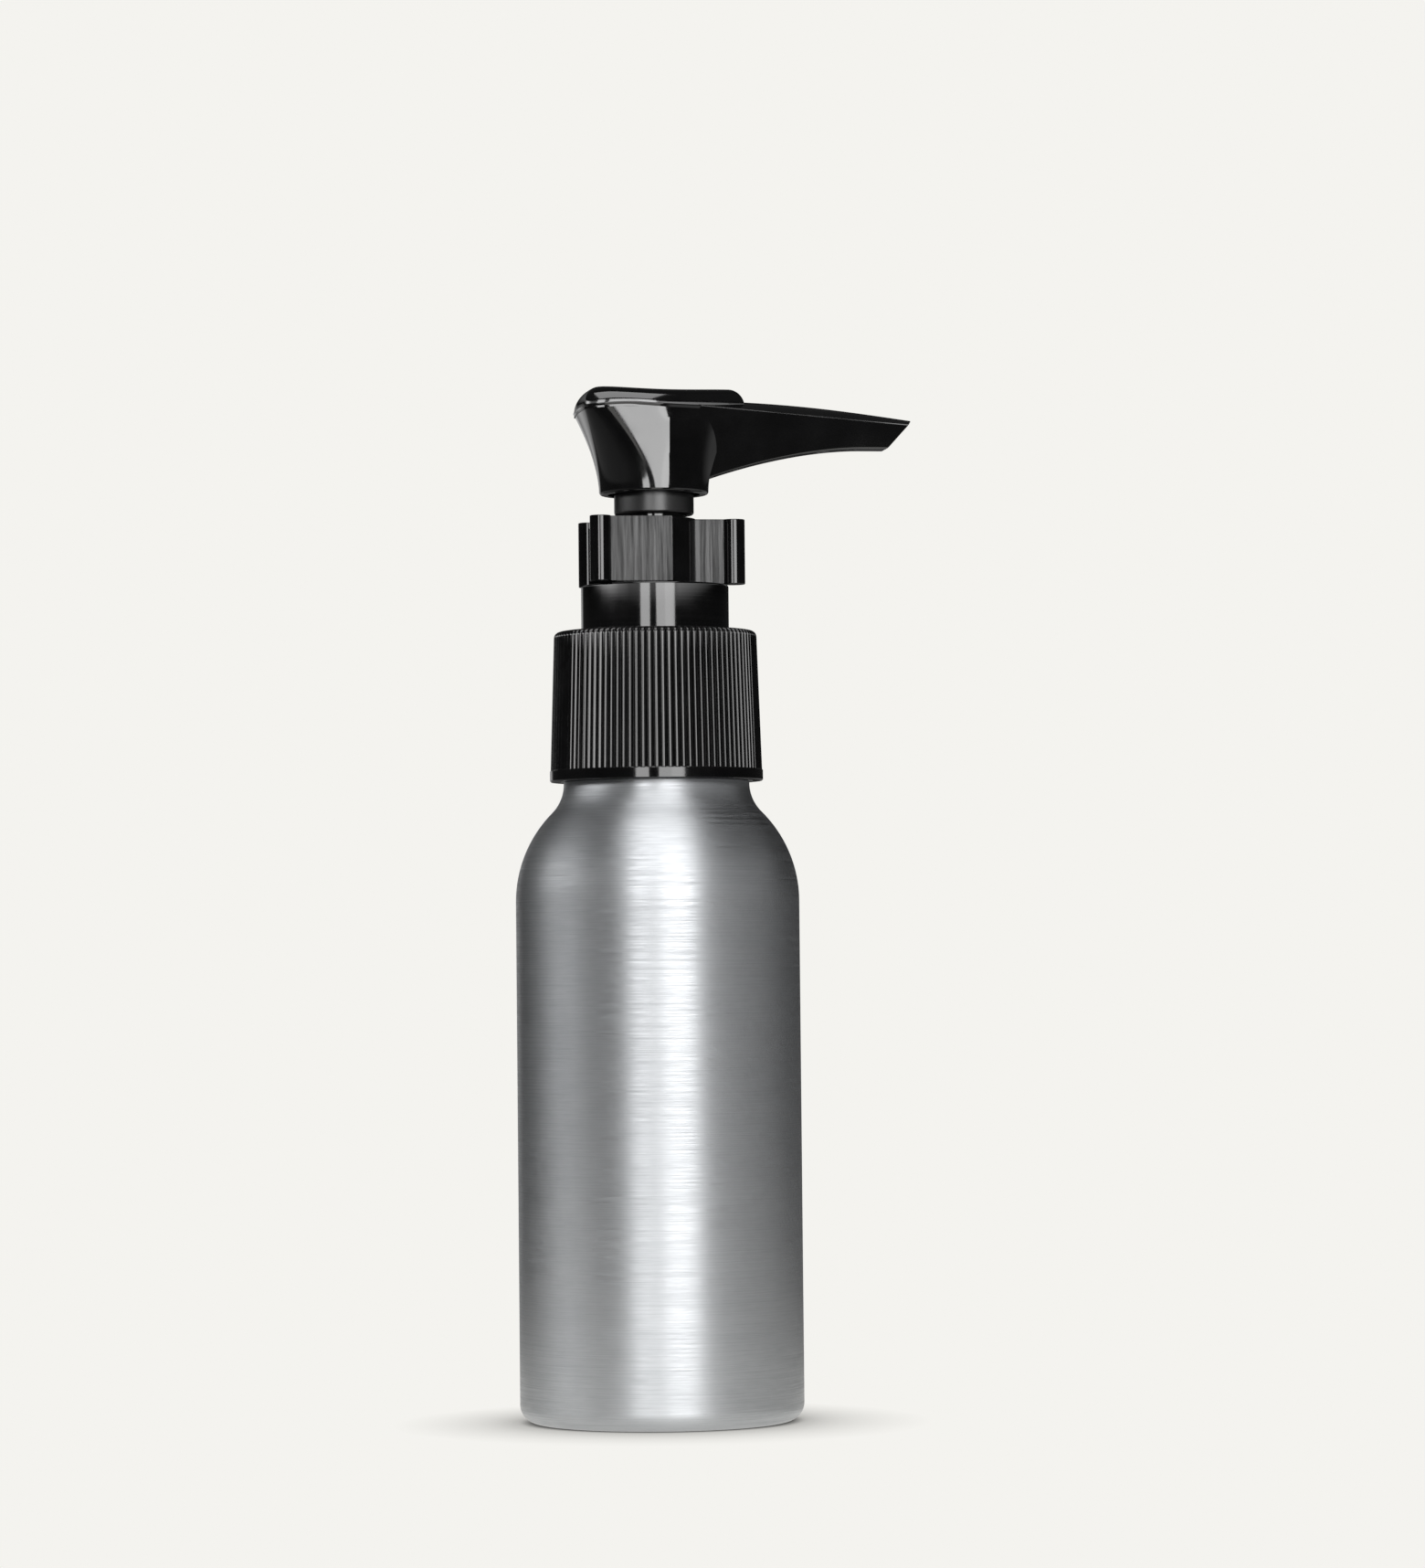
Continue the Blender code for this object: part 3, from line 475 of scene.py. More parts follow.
studio = {
    "pale": (0.905, 0.896, 0.863),
    "fill": 0.45,  # how much of the surroundings' light falls on the object
    "sheet": (80.0, 1100.0, -5, 20),  # paper round the bottle, its reach to the front, and that part's sides
    "sheetSteps": (8, 48),
    "paper": (0.62, 0.613, 0.59),
    # the contact shadow on the paper is painted, as an occlusion shade in its emitting colour
    "shadowReach": 35,
    "shadowShift": 2,  # the painted shadow lies a little towards the camera
    "shadowLit": 0.22,  # share of real lamp light mixed into the painted shadow
    "shadowStart": 19.0,
    "shadowEnd": 34.0,
    "shadowUnseen": 0.85,  # how much of the painted shadow reflections leave out
    "tentRadius": 1600.0,
    "tentTop": 2600.0,
    "tentFoot": -1500.0,
    "topCard": 0.03,
    "cardFades": (40, 60),  # how softly a row of cards starts and ends
    # each row of cards: how light it is at each side, and from what height to what height it reaches
    "cards": [
        ([(-180, 0.2), (-60, 0.1), (-24, 0.02), (36, 0.04), (50, 0.4), (100, 0.3), (180, 0.2)], (-1600, -60)),
        (
            [
                (-180, 0.02), (-176, 0.1), (-171, 0.9), (-166, 0.25),
                (-160, 0.8), (-150, 0.03), (-60, 0.03), (180, 0.02),
            ],
            (-60, 300),
        ),
        (
            [
                (-180, 0.02), (-120, 0.5), (-104, 3.8), (-88, 6.4), (-74, 5.8),
                (-58, 2.4), (-40, 0.9), (26, 0.8), (38, 2.4), (100, 1.0), (126, 0.05),
            ],
            (410, 660),
        ),
        ([(-180, 0.04), (180, 0.04)], (900, 2700)),
    ],
    "boxDistance": 1150.0,
    # each box light: its side, its foot and top in degrees above the floor, its width in degrees, its power
    "boxes": {
        "leftBox": (-15.0, 0.5, 30.0, 14.2, 5.5),
        "rightBox": (16.6, 0.5, 30.0, 28.0, 5.5),
        "rightCore": (22.0, 0.5, 30.0, 12.0, 0.8),
        "topBox": (4.0, 38.0, 84.0, 44.0, 2.7),
    },
}


def around(side, away):  # a place on the floor, that many mm from the axis
    turn = math.radians(side) - azimuth
    return away * math.sin(turn), -away * math.cos(turn), 0


def bareMaterial(name):
    made = bpy.data.materials.new(name)
    made.use_nodes = True
    made.node_tree.nodes.clear()
    return made, addNode(made, "ShaderNodeOutputMaterial").inputs["Surface"]


def mixShaders(made, share, first, second):
    node = addNode(made, "ShaderNodeMixShader")
    for value, target in zip((share, first, second), node.inputs):
        feed(made, value, target)
    return node.outputs["Shader"]


def boxLight(name, side, low, high, width, power):
    turn = math.radians(side) - azimuth
    mid = math.radians((low + high) / 2)
    away = studio["boxDistance"] * mm
    floorAway = away * math.cos(mid)
    place = (floorAway * math.sin(turn), -floorAway * math.cos(turn), away * math.sin(mid))
    dropAll()
    bpy.ops.object.light_add(type="AREA", location=place, rotation=(math.pi / 2 - mid, 0, turn))
    lamp = bpy.context.object
    lamp.name = name
    lamp.data.shape = "RECTANGLE"
    lamp.data.size = 2 * away * math.tan(math.radians(width) / 2)
    lamp.data.size_y = 2 * away * math.tan(math.radians(high - low) / 2)
    lamp.data.energy = power * lamp.data.size * lamp.data.size_y * math.pi
    lamp.visible_camera = False


def makeWorld():
    world = bpy.data.worlds.new("studioWorld")
    bpy.context.scene.world = world
    world.use_nodes = True
    back = world.node_tree.nodes["Background"]
    rays = addNode(world, "ShaderNodeLightPath").outputs
    seen = math2(world, "MAXIMUM", rays["Is Camera Ray"], rays["Is Glossy Ray"])
    seenToo = math2(world, "MAXIMUM", seen, rays["Is Transmission Ray"])
    back.inputs["Color"].default_value = (*studio["pale"], 1)
    join(world, spread(world, seenToo, studio["fill"], 1.0), back.inputs["Strength"])


def makeFloor():
    near, far, left, right = studio["sheet"]
    frontSteps, roundSteps = studio["sheetSteps"]
    points = [around(left + (right - left) * step / frontSteps, far) for step in range(frontSteps + 1)]
    rest = left + 360 - right
    points += [around(right + rest * step / roundSteps, near) for step in range(roundSteps + 1)]
    floor = drawn("paperFloor", points)
    bpy.ops.mesh.select_all(action="SELECT")
    bpy.ops.mesh.edge_face_add()
    bpy.ops.mesh.normals_make_consistent(inside=False)
    endEdit()
    made, surface = bareMaterial("palePaper")
    pale = (*studio["pale"], 1)
    plain = addNode(made, "ShaderNodeEmission", Color=pale).outputs[0]
    lit = addNode(made, "ShaderNodeBsdfDiffuse", Color=(*studio["paper"], 1)).outputs[0]
    # Painted contact shadow: an occlusion node darkens the pale emitting colour near the bottle, and a small
    # share of really lit paper is mixed in
    paintedShadowAO = addNode(
        made, "ShaderNodeAmbientOcclusion", Color=pale, Distance=studio["shadowReach"] * mm, samples=16
    )
    shade = addNode(made, "ShaderNodeEmission")
    join(made, paintedShadowAO.outputs["Color"], shade.inputs["Color"])
    shadow = mixShaders(made, studio["shadowLit"], shade.outputs[0], lit)
    place = addNode(made, "ShaderNodeTexCoord")
    away = addNode(made, "ShaderNodeVectorMath", operation="DISTANCE")
    join(made, place.outputs["Object"], away.inputs[0])
    away.inputs[1].default_value = [c * mm for c in around(0, studio["shadowShift"])]
    fade = spread(made, away.outputs["Value"], 0, 1, studio["shadowStart"] * mm, studio["shadowEnd"] * mm)
    # reflections see less of the painted shadow
    rays = addNode(made, "ShaderNodeLightPath")
    mirrored = math2(made, "MULTIPLY", rays.outputs["Is Glossy Ray"], studio["shadowUnseen"])
    join(made, mixShaders(made, math2(made, "MAXIMUM", fade, mirrored), shadow, plain), surface)
    dress(floor, made)


# Dark and light cards round the table, which only reflections see:
# metal and gloss plastic show their form by them
def makeTent():
    top, foot = studio["tentTop"], studio["tentFoot"]
    dropAll()
    bpy.ops.mesh.primitive_cylinder_add(
        vertices=96,
        radius=studio["tentRadius"] * mm,
        depth=(top - foot) * mm,
        location=(0, 0, (top + foot) / 2 * mm),
        rotation=(0, 0, -azimuth),
    )
    tent = bpy.context.object
    tent.name = "darkCards"
    made, surface = bareMaterial("darkCards")
    split = addNode(made, "ShaderNodeSeparateXYZ")
    join(made, addNode(made, "ShaderNodeTexCoord").outputs["Object"], split.inputs[0])
    turn = math2(made, "ARCTAN2", split.outputs["X"], math2(made, "MULTIPLY", split.outputs["Y"], -1.0))
    share = spread(made, turn, 0, 1, -math.pi, math.pi)
    height = math2(made, "ADD", split.outputs["Z"], (top + foot) / 2 * mm)
    startFade, endFade = studio["cardFades"]
    light = None
    for stops, (low, high) in studio["cards"]:
        grey = ramp(made, share, [((side + 180) / 360, (value,) * 3) for side, value in stops])
        start = spread(made, height, 0, 1, (low - startFade) * mm, (low + startFade) * mm)
        end = spread(made, height, 1, 0, (high - endFade) * mm, (high + endFade) * mm)
        part = math2(made, "MULTIPLY", grey, math2(made, "MULTIPLY", start, end))
        light = part if light is None else math2(made, "ADD", light, part)
    glow = addNode(made, "ShaderNodeEmission")
    join(made, light, glow.inputs["Strength"])
    join(made, glow.outputs[0], surface)
    topMaterial, topSurface = bareMaterial("topCard")
    topGlow = addNode(topMaterial, "ShaderNodeEmission", Color=((studio["topCard"],) * 3 + (1,)))
    join(topMaterial, topGlow.outputs[0], topSurface)
    dress(tent, made, topMaterial)
    for face in tent.data.polygons:
        face.material_index = 1 if abs(face.normal.z) > 0.5 else 0
    for kind in ("camera", "diffuse", "transmission", "volume_scatter", "shadow"):
        setattr(tent, "visible_" + kind, False)


makeWorld()
makeFloor()
makeTent()
for boxName, boxShape in studio["boxes"].items():
    boxLight(boxName, *boxShape)
print("studio ready")


# Bottle: one spun aluminium shell with a rounded lip

bottle = {
    "radius": 18.0,
    "baseFillet": 2.3,
    "baseDish": 0.5,
    "dishStart": 14.2,
    "dishEdge": 1.6,
    "dishFillet": 0.25,
    "shoulder": 65.8,
    "domeRadius": 16.0,
    "neckFillet": 5.2,
    "neckFoot": 11.8,
    "neckStep": (0.2, 0.9),  # from what height to what height above its foot the neck narrows
    "neckRadius": 11.0,
    "bore": 10.0,
    "wall": 0.8,
    "floor": 1.1,
    "lip": 0.45,
    "sides": 192,
}


def makeBottle():
    b = bottle
    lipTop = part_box("bottle_shell")[1][2] / mm
    dome = (b["radius"] - b["domeRadius"], b["shoulder"])
    neckTurn = b["neckFoot"] + b["neckFillet"]
    span = neckTurn - dome[0]
    reach = b["domeRadius"] + b["neckFillet"]
    neckStart = b["shoulder"] + math.sqrt(reach**2 - span**2)
    lean = math.degrees(math.acos(span / reach))
    dishFlat = b["dishStart"] - b["dishEdge"]
    outline = [(0, b["baseDish"]), (dishFlat, b["baseDish"])]
    outline += arcOf((dishFlat, b["baseDish"] - b["dishFillet"]), b["dishFillet"], 80, 40, 3)
    outline += [(b["dishStart"], 0)]
    outline += arcOf((b["radius"] - b["baseFillet"], b["baseFillet"]), b["baseFillet"], -90, 0, 12)
    outline += lineOf(outline[-1], (b["radius"], b["shoulder"]), 4)[1:]
    outline += arcOf(dome, b["domeRadius"], 0, lean, 20)[1:]
    outline += arcOf((neckTurn, neckStart), b["neckFillet"], 180 + lean, 180, 14)[1:]
    stepFoot, stepTop = b["neckStep"]
    outline += [(b["neckFoot"], neckStart + stepFoot), (b["neckRadius"], neckStart + stepTop)]
    outline += arcOf((b["neckRadius"] - b["lip"], lipTop - b["lip"]), b["lip"], 0, 180, 10)
    boreFillet = neckTurn - b["bore"]
    boreDome = b["domeRadius"] - b["wall"]
    boreStart = b["shoulder"] + math.sqrt((boreDome + boreFillet) ** 2 - span**2)
    boreLean = math.degrees(math.acos(span / (boreDome + boreFillet)))
    outline += arcOf((neckTurn, boreStart), boreFillet, 180, 180 + boreLean, 10)
    outline += arcOf(dome, boreDome, boreLean, 0, 12)[1:]
    inner = b["radius"] - b["wall"]
    corner = b["baseFillet"] - b["wall"]
    outline += arcOf((inner - corner, b["floor"] + b["baseDish"] + corner), corner, 0, -90, 6)
    outline += [(0, b["floor"] + b["baseDish"])]
    shell = turned("bottleShell", outline, b["sides"], 40)
    dress(shell, aluminium)
    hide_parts("bottle_shell")
    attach(shell, "bottle")
    return neckStart


neckStart = makeBottle()
print("bottle made")


# Threads: a rounded ridge on the neck and its counterpart inside the closure, tapering at both ends

thread = {
    "pitch": 3.175,
    "turns": 1.6,
    "rise": 0.62,
    "width": 1.5,
    "sunk": 0.1,  # how deep the ridge's foot lies in the wall
    "stepsPerTurn": 72,
    "fadeSteps": 12,  # the ridge fades out over these at each end
    "leftOver": 0.04,  # share of the ridge at its very ends
    "neckFirst": 4.6,  # above the neck's foot
    "closureFirst": 6.2,
    "weldGap": 0.001,
}


def makeThread(name, radius, outwards, start):
    t = thread
    count = int(t["turns"] * t["stepsPerTurn"])
    foot = radius - outwards * t["sunk"]
    half = arcOf((0, 0), 1.0, -90, 90, 8)
    section = [(foot + outwards * x * t["rise"], 0, start + z * t["width"] / 2) for x, z in half]
    ridge = drawn(name, closed(section))
    bpy.ops.mesh.select_all(action="SELECT")
    bpy.ops.mesh.remove_doubles(threshold=t["weldGap"] * mm)
    endEdit()
    turn = math.tau * count / t["stepsPerTurn"]
    addStep(ridge, "SCREW", angle=turn, screw_offset=t["pitch"] * turn / math.tau * mm, steps=count)
    for vert in ridge.data.vertices:
        step = vert.index // len(section)
        faded = min(min(step, count - step) / t["fadeSteps"], 1)
        swell = math.sin(faded * math.pi / 2) * (1 - t["leftOver"]) + t["leftOver"]
        middle = (start + t["pitch"] * step / t["stepsPerTurn"]) * mm
        reach = math.hypot(vert.co.x, vert.co.y)
        drawnIn = (foot * mm + (reach - foot * mm) * swell) / reach
        vert.co = (vert.co.x * drawnIn, vert.co.y * drawnIn, middle + (vert.co.z - middle) * swell)
    startEdit(ridge, "EDGE")
    bpy.ops.mesh.select_non_manifold()
    bpy.ops.mesh.edge_face_add()
    endEdit()
    cleanUp(ridge, 50)
    return ridge


neckThread = makeThread("neckThread", bottle["neckRadius"], 1, neckStart + thread["neckFirst"])
dress(neckThread, aluminium)
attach(neckThread, "bottle")


# Closure: spun with twelve steps to a rib, then the steps beside the crests are drawn in towards the axis

closure = {
    "band": 13.55,
    "bandHeight": 1.45,
    "bandEdge": 0.15,
    "bandGroove": ((0, 0.12), (0.08, 0.02)),  # points inwards of the band and below the ribs
    "ribFoot": 13.45,
    "ribTop": 12.9,
    "ribs": 96,
    # depth from crest to crest
    "ribShares": (0, 0.015, 0.05, 0.12, 0.3, 0.53, 0.77, 1, 0.5, 0.17, 0.055, 0.015),
    "ribFades": (0.98, 0.94, 0.84, 0.66, 0.4),  # share of the depth at each step of the rounded top edge
    "ribsFrom": 12.05,  # nothing nearer the axis is drawn in
    "near": 0.01,  # how near a point's height has to be to a ring's
    "depth": 0.31,
    "edge": 0.75,
    "edgeFlat": 0.35,
    "bore": 11.95,
    "boreEdge": 0.3,
    "plate": 1.3,
    "hole": 9.65,
    "holeEdge": 0.1,
}


def makeClosure():
    c = closure
    low, top = (corner[2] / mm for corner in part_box("closure"))
    steps = len(c["ribShares"])
    edgeStart = top - c["edge"]
    foot = low + c["bandHeight"]
    outline = [(c["bore"], low + c["boreEdge"]), (c["bore"] + c["boreEdge"], low)]
    outline += [(c["band"] - c["bandEdge"], low), (c["band"], low + c["bandEdge"])]
    outline += [(c["band"] - inwards, foot - below) for inwards, below in c["bandGroove"]]
    outline += lineOf((c["ribFoot"], foot), (c["ribTop"], edgeStart), 3)
    rounded = arcOf((c["ribTop"] - c["edge"], edgeStart), c["edge"], 0, 90, 6)[1:]
    outline += rounded
    outline += [(c["ribTop"] - c["edge"] - c["edgeFlat"], top)]
    outline += [(c["hole"] + c["holeEdge"], top), (c["hole"], top - c["holeEdge"])]
    outline += [(c["hole"], top - c["plate"]), (c["bore"], top - c["plate"])]
    cap = turned("ribbedClosure", closed(outline), c["ribs"] * steps, 35)
    near = c["near"]
    levels = [(foot - near, edgeStart + near, 1.0)]
    levels += [(z - near, z + near, fade) for (_, z), fade in zip(rounded, c["ribFades"])]
    groups = {}
    for vert in cap.data.vertices:
        if math.hypot(vert.co.x, vert.co.y) / mm < c["ribsFrom"]:
            continue
        for place, (start, end, _) in enumerate(levels):
            if start < vert.co.z / mm < end:
                phase = round(math.atan2(vert.co.y, vert.co.x) / math.tau * c["ribs"] * steps) % steps
                groups.setdefault((place, phase), []).append(vert.index)
    startEdit(cap)
    for (place, phase), members in groups.items():
        share = c["ribShares"][phase] * levels[place][2]
        if share == 0:
            continue
        chooseMembers(cap, members)
        small = 1 - share * c["depth"] / c["ribTop"]
        bpy.ops.transform.resize(value=(small, small, 1), center_override=(0, 0, 0))
    endEdit()
    smoothen(cap, 35)
    dress(cap, gloss)
    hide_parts("closure")
    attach(cap, "closure")


makeClosure()
closureThread = makeThread("closureThread", closure["bore"], -1, neckStart + thread["closureFirst"])
dress(closureThread, gloss)
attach(closureThread, "closure")
print("closure made")


# Collar: a drum on its flange, with the stem's guide hanging inside

collar = {
    "radius": 9.4,
    "wall": 1.1,
    "edge": 0.28,
    "flange": 11.45,
    "flangeHeight": 1.1,
    "chamfer": 0.2,
    "bore": 4.25,
    "guideWall": 1.2,
    "top": 1.3,
}


def makeCollar():
    c = collar
    guideEnd, top = (corner[2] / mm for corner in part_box("collar"))
    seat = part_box("barrel")[1][2] / mm + seatGap
    flangeTop = seat + c["flangeHeight"]
    outline = [(c["radius"] - c["wall"], seat), (c["flange"], seat), (c["flange"], flangeTop)]
    outline += [(c["radius"] + c["chamfer"], flangeTop), (c["radius"], flangeTop + c["chamfer"])]
    outline += arcOf((c["radius"] - c["edge"], top - c["edge"]), c["edge"], 0, 90, 5)
    outline += [(c["bore"] + c["chamfer"], top), (c["bore"], top - c["chamfer"]), (c["bore"], guideEnd)]
    outline += [(c["bore"] + c["guideWall"], guideEnd), (c["bore"] + c["guideWall"], top - c["top"])]
    outline += [(c["radius"] - c["wall"], top - c["top"])]
    drum = turned("collarDrum", closed(outline), 144, 35)
    dress(drum, turnedBlack)
    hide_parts("collar")
    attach(drum, "pump_unit")


makeCollar()

stem = {"bore": 2.45, "radius": 4.0, "edge": 0.3}


def makeStem():
    s = stem
    low, high = (corner[2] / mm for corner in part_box("stem"))
    outline = [(s["bore"], low), (s["radius"], low), (s["radius"], high - s["edge"])]
    outline += [(s["radius"] - s["edge"], high), (s["bore"], high)]
    tube = turned("stemTube", closed(outline), 96, 35)
    dress(tube, turnedBlack)
    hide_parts("stem")
    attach(tube, "head")


makeStem()
print("collar and stem made")


# Lock clip: a C drawn in plan, filled and extruded, with two posts at its mouth and a pull tab

clip = {
    "bore": 4.25,
    "ringWall": 1.0,
    "padFront": 1.5,
    "padFace": 6.1,
    "padRear": 5.85,  # so the grip faces lean out a little towards the tab
    "padBow": 0.14,  # and bow by this much, over this many steps
    "padSteps": 12,
    "padWall": 1.1,
    "post": 1.35,
    "postRear": 7.65,
    "postSide": 6.0,
    "mouth": 3.2,
    "tab": 1.1,
    "tabEnd": 10.2,
    "tabRadius": 1.45,
    "edge": 0.12,
    "level": 0.01,  # edges that rise less than this are rounded off
    # where the grip faces lie: out from the middle, from the rear on, and how squarely they face out
    "gripOut": 5.8,
    "gripRear": -6.5,
    "gripFacing": 0.94,
    "tabFrom": 4,
    "tabNear": 0.02,
}


def clipHalf():
    c = clip
    outer = c["bore"] + c["ringWall"]
    half = c["tab"] / 2
    tabTurn = 180 - math.degrees(math.asin(half / c["tabRadius"]))
    points = arcOf((c["tabEnd"], 0), c["tabRadius"], 0, tabTurn, 18)
    start = math.degrees(math.asin(half / outer))
    points += arcOf((0, 0), outer, start, math.degrees(math.acos(c["padFront"] / outer)), 16)
    sunk = c["padRear"] - c["postSide"]
    rear = (-c["postRear"] + math.sqrt(c["post"] ** 2 - sunk**2), c["padRear"])
    steps = c["padSteps"]
    pad = lineOf((c["padFront"], c["padFace"]), rear, steps)
    points += [(x, y + c["padBow"] * math.sin(math.pi * place / steps)) for place, (x, y) in enumerate(pad)]
    start = math.degrees(math.asin(sunk / c["post"]))
    end = 360 - math.degrees(math.asin((c["postSide"] - c["padFace"] + c["padWall"]) / c["post"]))
    points += arcOf((-c["postRear"], c["postSide"]), c["post"], start, end, 28)[1:]
    points += [(-c["mouth"] - c["padWall"], c["padFace"] - c["padWall"]), (-c["mouth"], c["bore"])]
    points += arcOf((0, 0), c["bore"], 90, 0, 24)
    return points


def makeClip():
    c = clip
    low, high = (corner[2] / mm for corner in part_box("lock_clip"))
    half = clipHalf()
    plan = half + [(x, -y) for x, y in reversed(half[1:-1])]
    guard = drawn("lockClip", [(x, y, low) for x, y in plan])
    bpy.ops.mesh.select_all(action="SELECT")
    bpy.ops.mesh.edge_face_add()
    bpy.ops.mesh.extrude_region_move(TRANSFORM_OT_translate={"value": (0, 0, (high - low) * mm)})
    endEdit()
    cleanUp(guard, 30)
    startEdit(guard, "EDGE")
    bpy.ops.object.mode_set(mode="OBJECT")
    for edge in guard.data.edges:
        first, second = (guard.data.vertices[v].co for v in edge.vertices)
        edge.select = abs(first.z - second.z) < c["level"] * mm
    bpy.ops.object.mode_set(mode="EDIT")
    bpy.ops.mesh.bevel(offset=c["edge"] * mm, segments=2, profile=0.6, clamp_overlap=True)
    endEdit()

    def onGrip(centre, normal):
        x, y = centre.x / mm, abs(centre.y) / mm
        squarely = abs(normal.y) > c["gripFacing"]
        onPad = y > c["gripOut"] and squarely and c["gripRear"] < x < c["padFront"]
        onTab = abs(y - c["tab"] / 2) < c["tabNear"] and x > c["tabFrom"]
        return onPad or onTab

    dress(guard, gloss, grip)
    dressPart(guard, onGrip)
    cleanUp(guard, 24)
    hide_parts("lock_clip")
    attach(guard, "lock_clip")


makeClip()
print("clip made")


# Head: one moulding of a flared body, a thumb pad and the nozzle, with its hub inside the skirt.
# Heights are above the skirt's lower edge.

head = {
    "skirt": 6.97,
    "skirtEdge": 0.38,
    "skirtWall": 1.1,
    "recess": 7.0,
    "clipHeight": 8.3,
    "play": 0.48,  # free height between the clip and the hub
    "hub": 5.07,
    "hubEdge": 0.35,
    "hubDrop": 2.62,
    "hubJoin": 0.4,  # how far the hub reaches into the body above the recess
    "near": 0.02,  # what lies this near the hub's own radius belongs to the hub
    "socket": 7.0,
    "socketRadius": 4.2,
    "rim": 10.95,
    "rimLift": 0.28,  # the rim bows up a little along each side
    "rimSpan": 10.8,  # and the bow ends this far in front of the rear
    "rimEdge": 0.12,
    "lip": (0.42, 0.15),  # how far below the rim a small lip starts, and how far it stands out
    "halfWidth": 8.0,  # what the lip and the rim's edge shrink from
    "bodyRows": 26,
    "rear": 9.6,
    "rearBow": 0.25,
    "rearSteps": 6,
    "cornerTurn": (85, 24, 4.5, 0),  # slopes of the outline, in degrees, where its three arcs meet
    "cornerRadii": (1.45, 7.1, 96.0),
    "cornerSteps": (14, 6, 12),
    "cornerStart": 5.6,
    "creaseSoft": 1.6,  # how far the crease is rounded off at the rim
    "softShares": (0.82, 0.18),  # from what share of the height on, and over how much of it
    "front": (9.5, 4.0),
    "frontSteps": (14, 4),
    "flares": (1.6, 1.55, 1.42, 1.08, 1.1, 2.0),  # how late the body spreads: rear, corner, side, crease, front
    "turns": (180, 172, 112, 96, 81, 25, 0),  # angles round the skirt that meet those points
    "padRise": (2.45, 2.05, 2.4),  # above the rim at the rear, in the dip and at the front
    "padDip": 1.0,
    "padFront": (11.5, 3.0),
    "padSoft": 5.0,
    "padSlope": 2.2,
    "padHalf": 7.9,
    "padFeet": (-0.6, -0.02),  # the pad starts inside the body
    "padInsets": (2.9, 3.9, 5.2, 6.6, 7.4),  # its top closes in towards the middle, as a saddle
    "padClosing": 15.2,  # so that it closes in both ways together
    "nozzle": (4.0, 33.2),
    "nozzleRows": 44,
    "nozzleHalf": (6.0, 2.95),
    "nozzleUnder": 2.5,  # half the width of its underside
    # where the flat under the nozzle ends, where its fillet turns, and its radius
    "underFillet": (0.5, 0.45, 0.3),
    # points inwards of the nozzle's side and above its rim
    "nozzleEdge": ((0.03, -0.16), (0, -0.02), (0.05, 0.08), (0.15, 0.15)),
    "crownFrom": 0.2,
    "taper": 1.25,
    "rimDrop": 2.15,  # how far the nozzle droops
    "roof": (1.15, 0.8, 0.55),  # its crown's rise at the root and at the tip, and what is added halfway
    "under": (7.0, 29.0, 2.1, 3.8),  # from where to where its underside rises, from what height, and by how much
    "slant": 3.3,  # how far back its end leans
    "tipEdge": ((0.98, 0.03), (0.95, 0.045)),  # how small the slanted end's edge gets, and how far out it lies
    "channel": 1.25,
    "channelHeight": 7.4,
    "channelRise": 0.2,  # from the axis to the nozzle's end
    "bore": (0.3, 8.9),  # how much wider than the channel the bore is that feeds it, and its top
    "aside": 0.02,  # a hair off the middle, so that no corner falls on another
    "dimples": ((22.5, 3.3, 5.35), (25.6, 1.3, 5.75)),  # sink marks under the nozzle: place, length and height
    "dimpleHalf": (1.15, 0.35),
}


def lofted(name, rings):  # a tube extruded ring by ring, then each point put in its place
    count = len(rings[0])
    dropAll()
    bpy.ops.mesh.primitive_circle_add(vertices=count, radius=10 * mm)
    piece = bpy.context.object
    piece.name = name
    piece.data.name = name
    startEdit(piece)
    bpy.ops.mesh.select_all(action="SELECT")
    for _ in rings[1:]:
        bpy.ops.mesh.extrude_region_move(TRANSFORM_OT_translate={"value": (0, 0, mm)})
    endEdit()
    for vert in piece.data.vertices:
        row = round(vert.co.z / mm)
        place = round(math.atan2(vert.co.y, vert.co.x) / math.tau * count) % count
        vert.co = [c * mm for c in rings[row][place]]
    startEdit(piece, "EDGE")
    bpy.ops.mesh.select_non_manifold()
    bpy.ops.mesh.edge_face_add()
    bpy.ops.mesh.select_all(action="SELECT")
    bpy.ops.mesh.normals_make_consistent(inside=False)
    endEdit()
    return piece


# Half of the plan, from the middle of the rear edge to the middle of the front
def headOutline(frontEnd, soft=0.0):
    h = head
    x, y = -h["rear"], h["cornerStart"]
    rearSides = [y * step / h["rearSteps"] for step in range(h["rearSteps"] + 1)]
    stretches = [[(x - h["rearBow"] * (1 - (side / y) ** 2), side) for side in rearSides]]
    slopes = h["cornerTurn"]
    for radius, start, end, steps in zip(h["cornerRadii"], slopes, slopes[1:], h["cornerSteps"]):
        points = []
        first = math.radians(start)
        for step in range(steps + 1):
            turn = math.radians(mixed(start, end, step / steps))
            along = radius * (math.sin(first) - math.sin(turn))
            out = radius * (math.cos(turn) - math.cos(first))
            points.append((x + along, y + out))
        stretches.append(points)
        x, y = points[-1]
    sideSteps, endSteps = h["frontSteps"]
    stretches.append(lineOf((x, y), frontEnd, sideSteps))
    stretches.append(lineOf(frontEnd, (frontEnd[0], 0), endSteps))
    slope = (frontEnd[1] - y) / (frontEnd[0] - x)
    if soft > 0:  # a curve that leaves the side before the crease and joins the front stretch after it
        for points in stretches[3:5]:
            for place, (px, py) in enumerate(points):
                away = (px - x) / soft
                if abs(away) < 1:
                    points[place] = (px, py + slope * soft / 4 * (1 - abs(away)) ** 2)
    return stretches


def mirrored(half):
    return half + [(x, -y, z) for x, y, z in reversed(half[1:-1])]


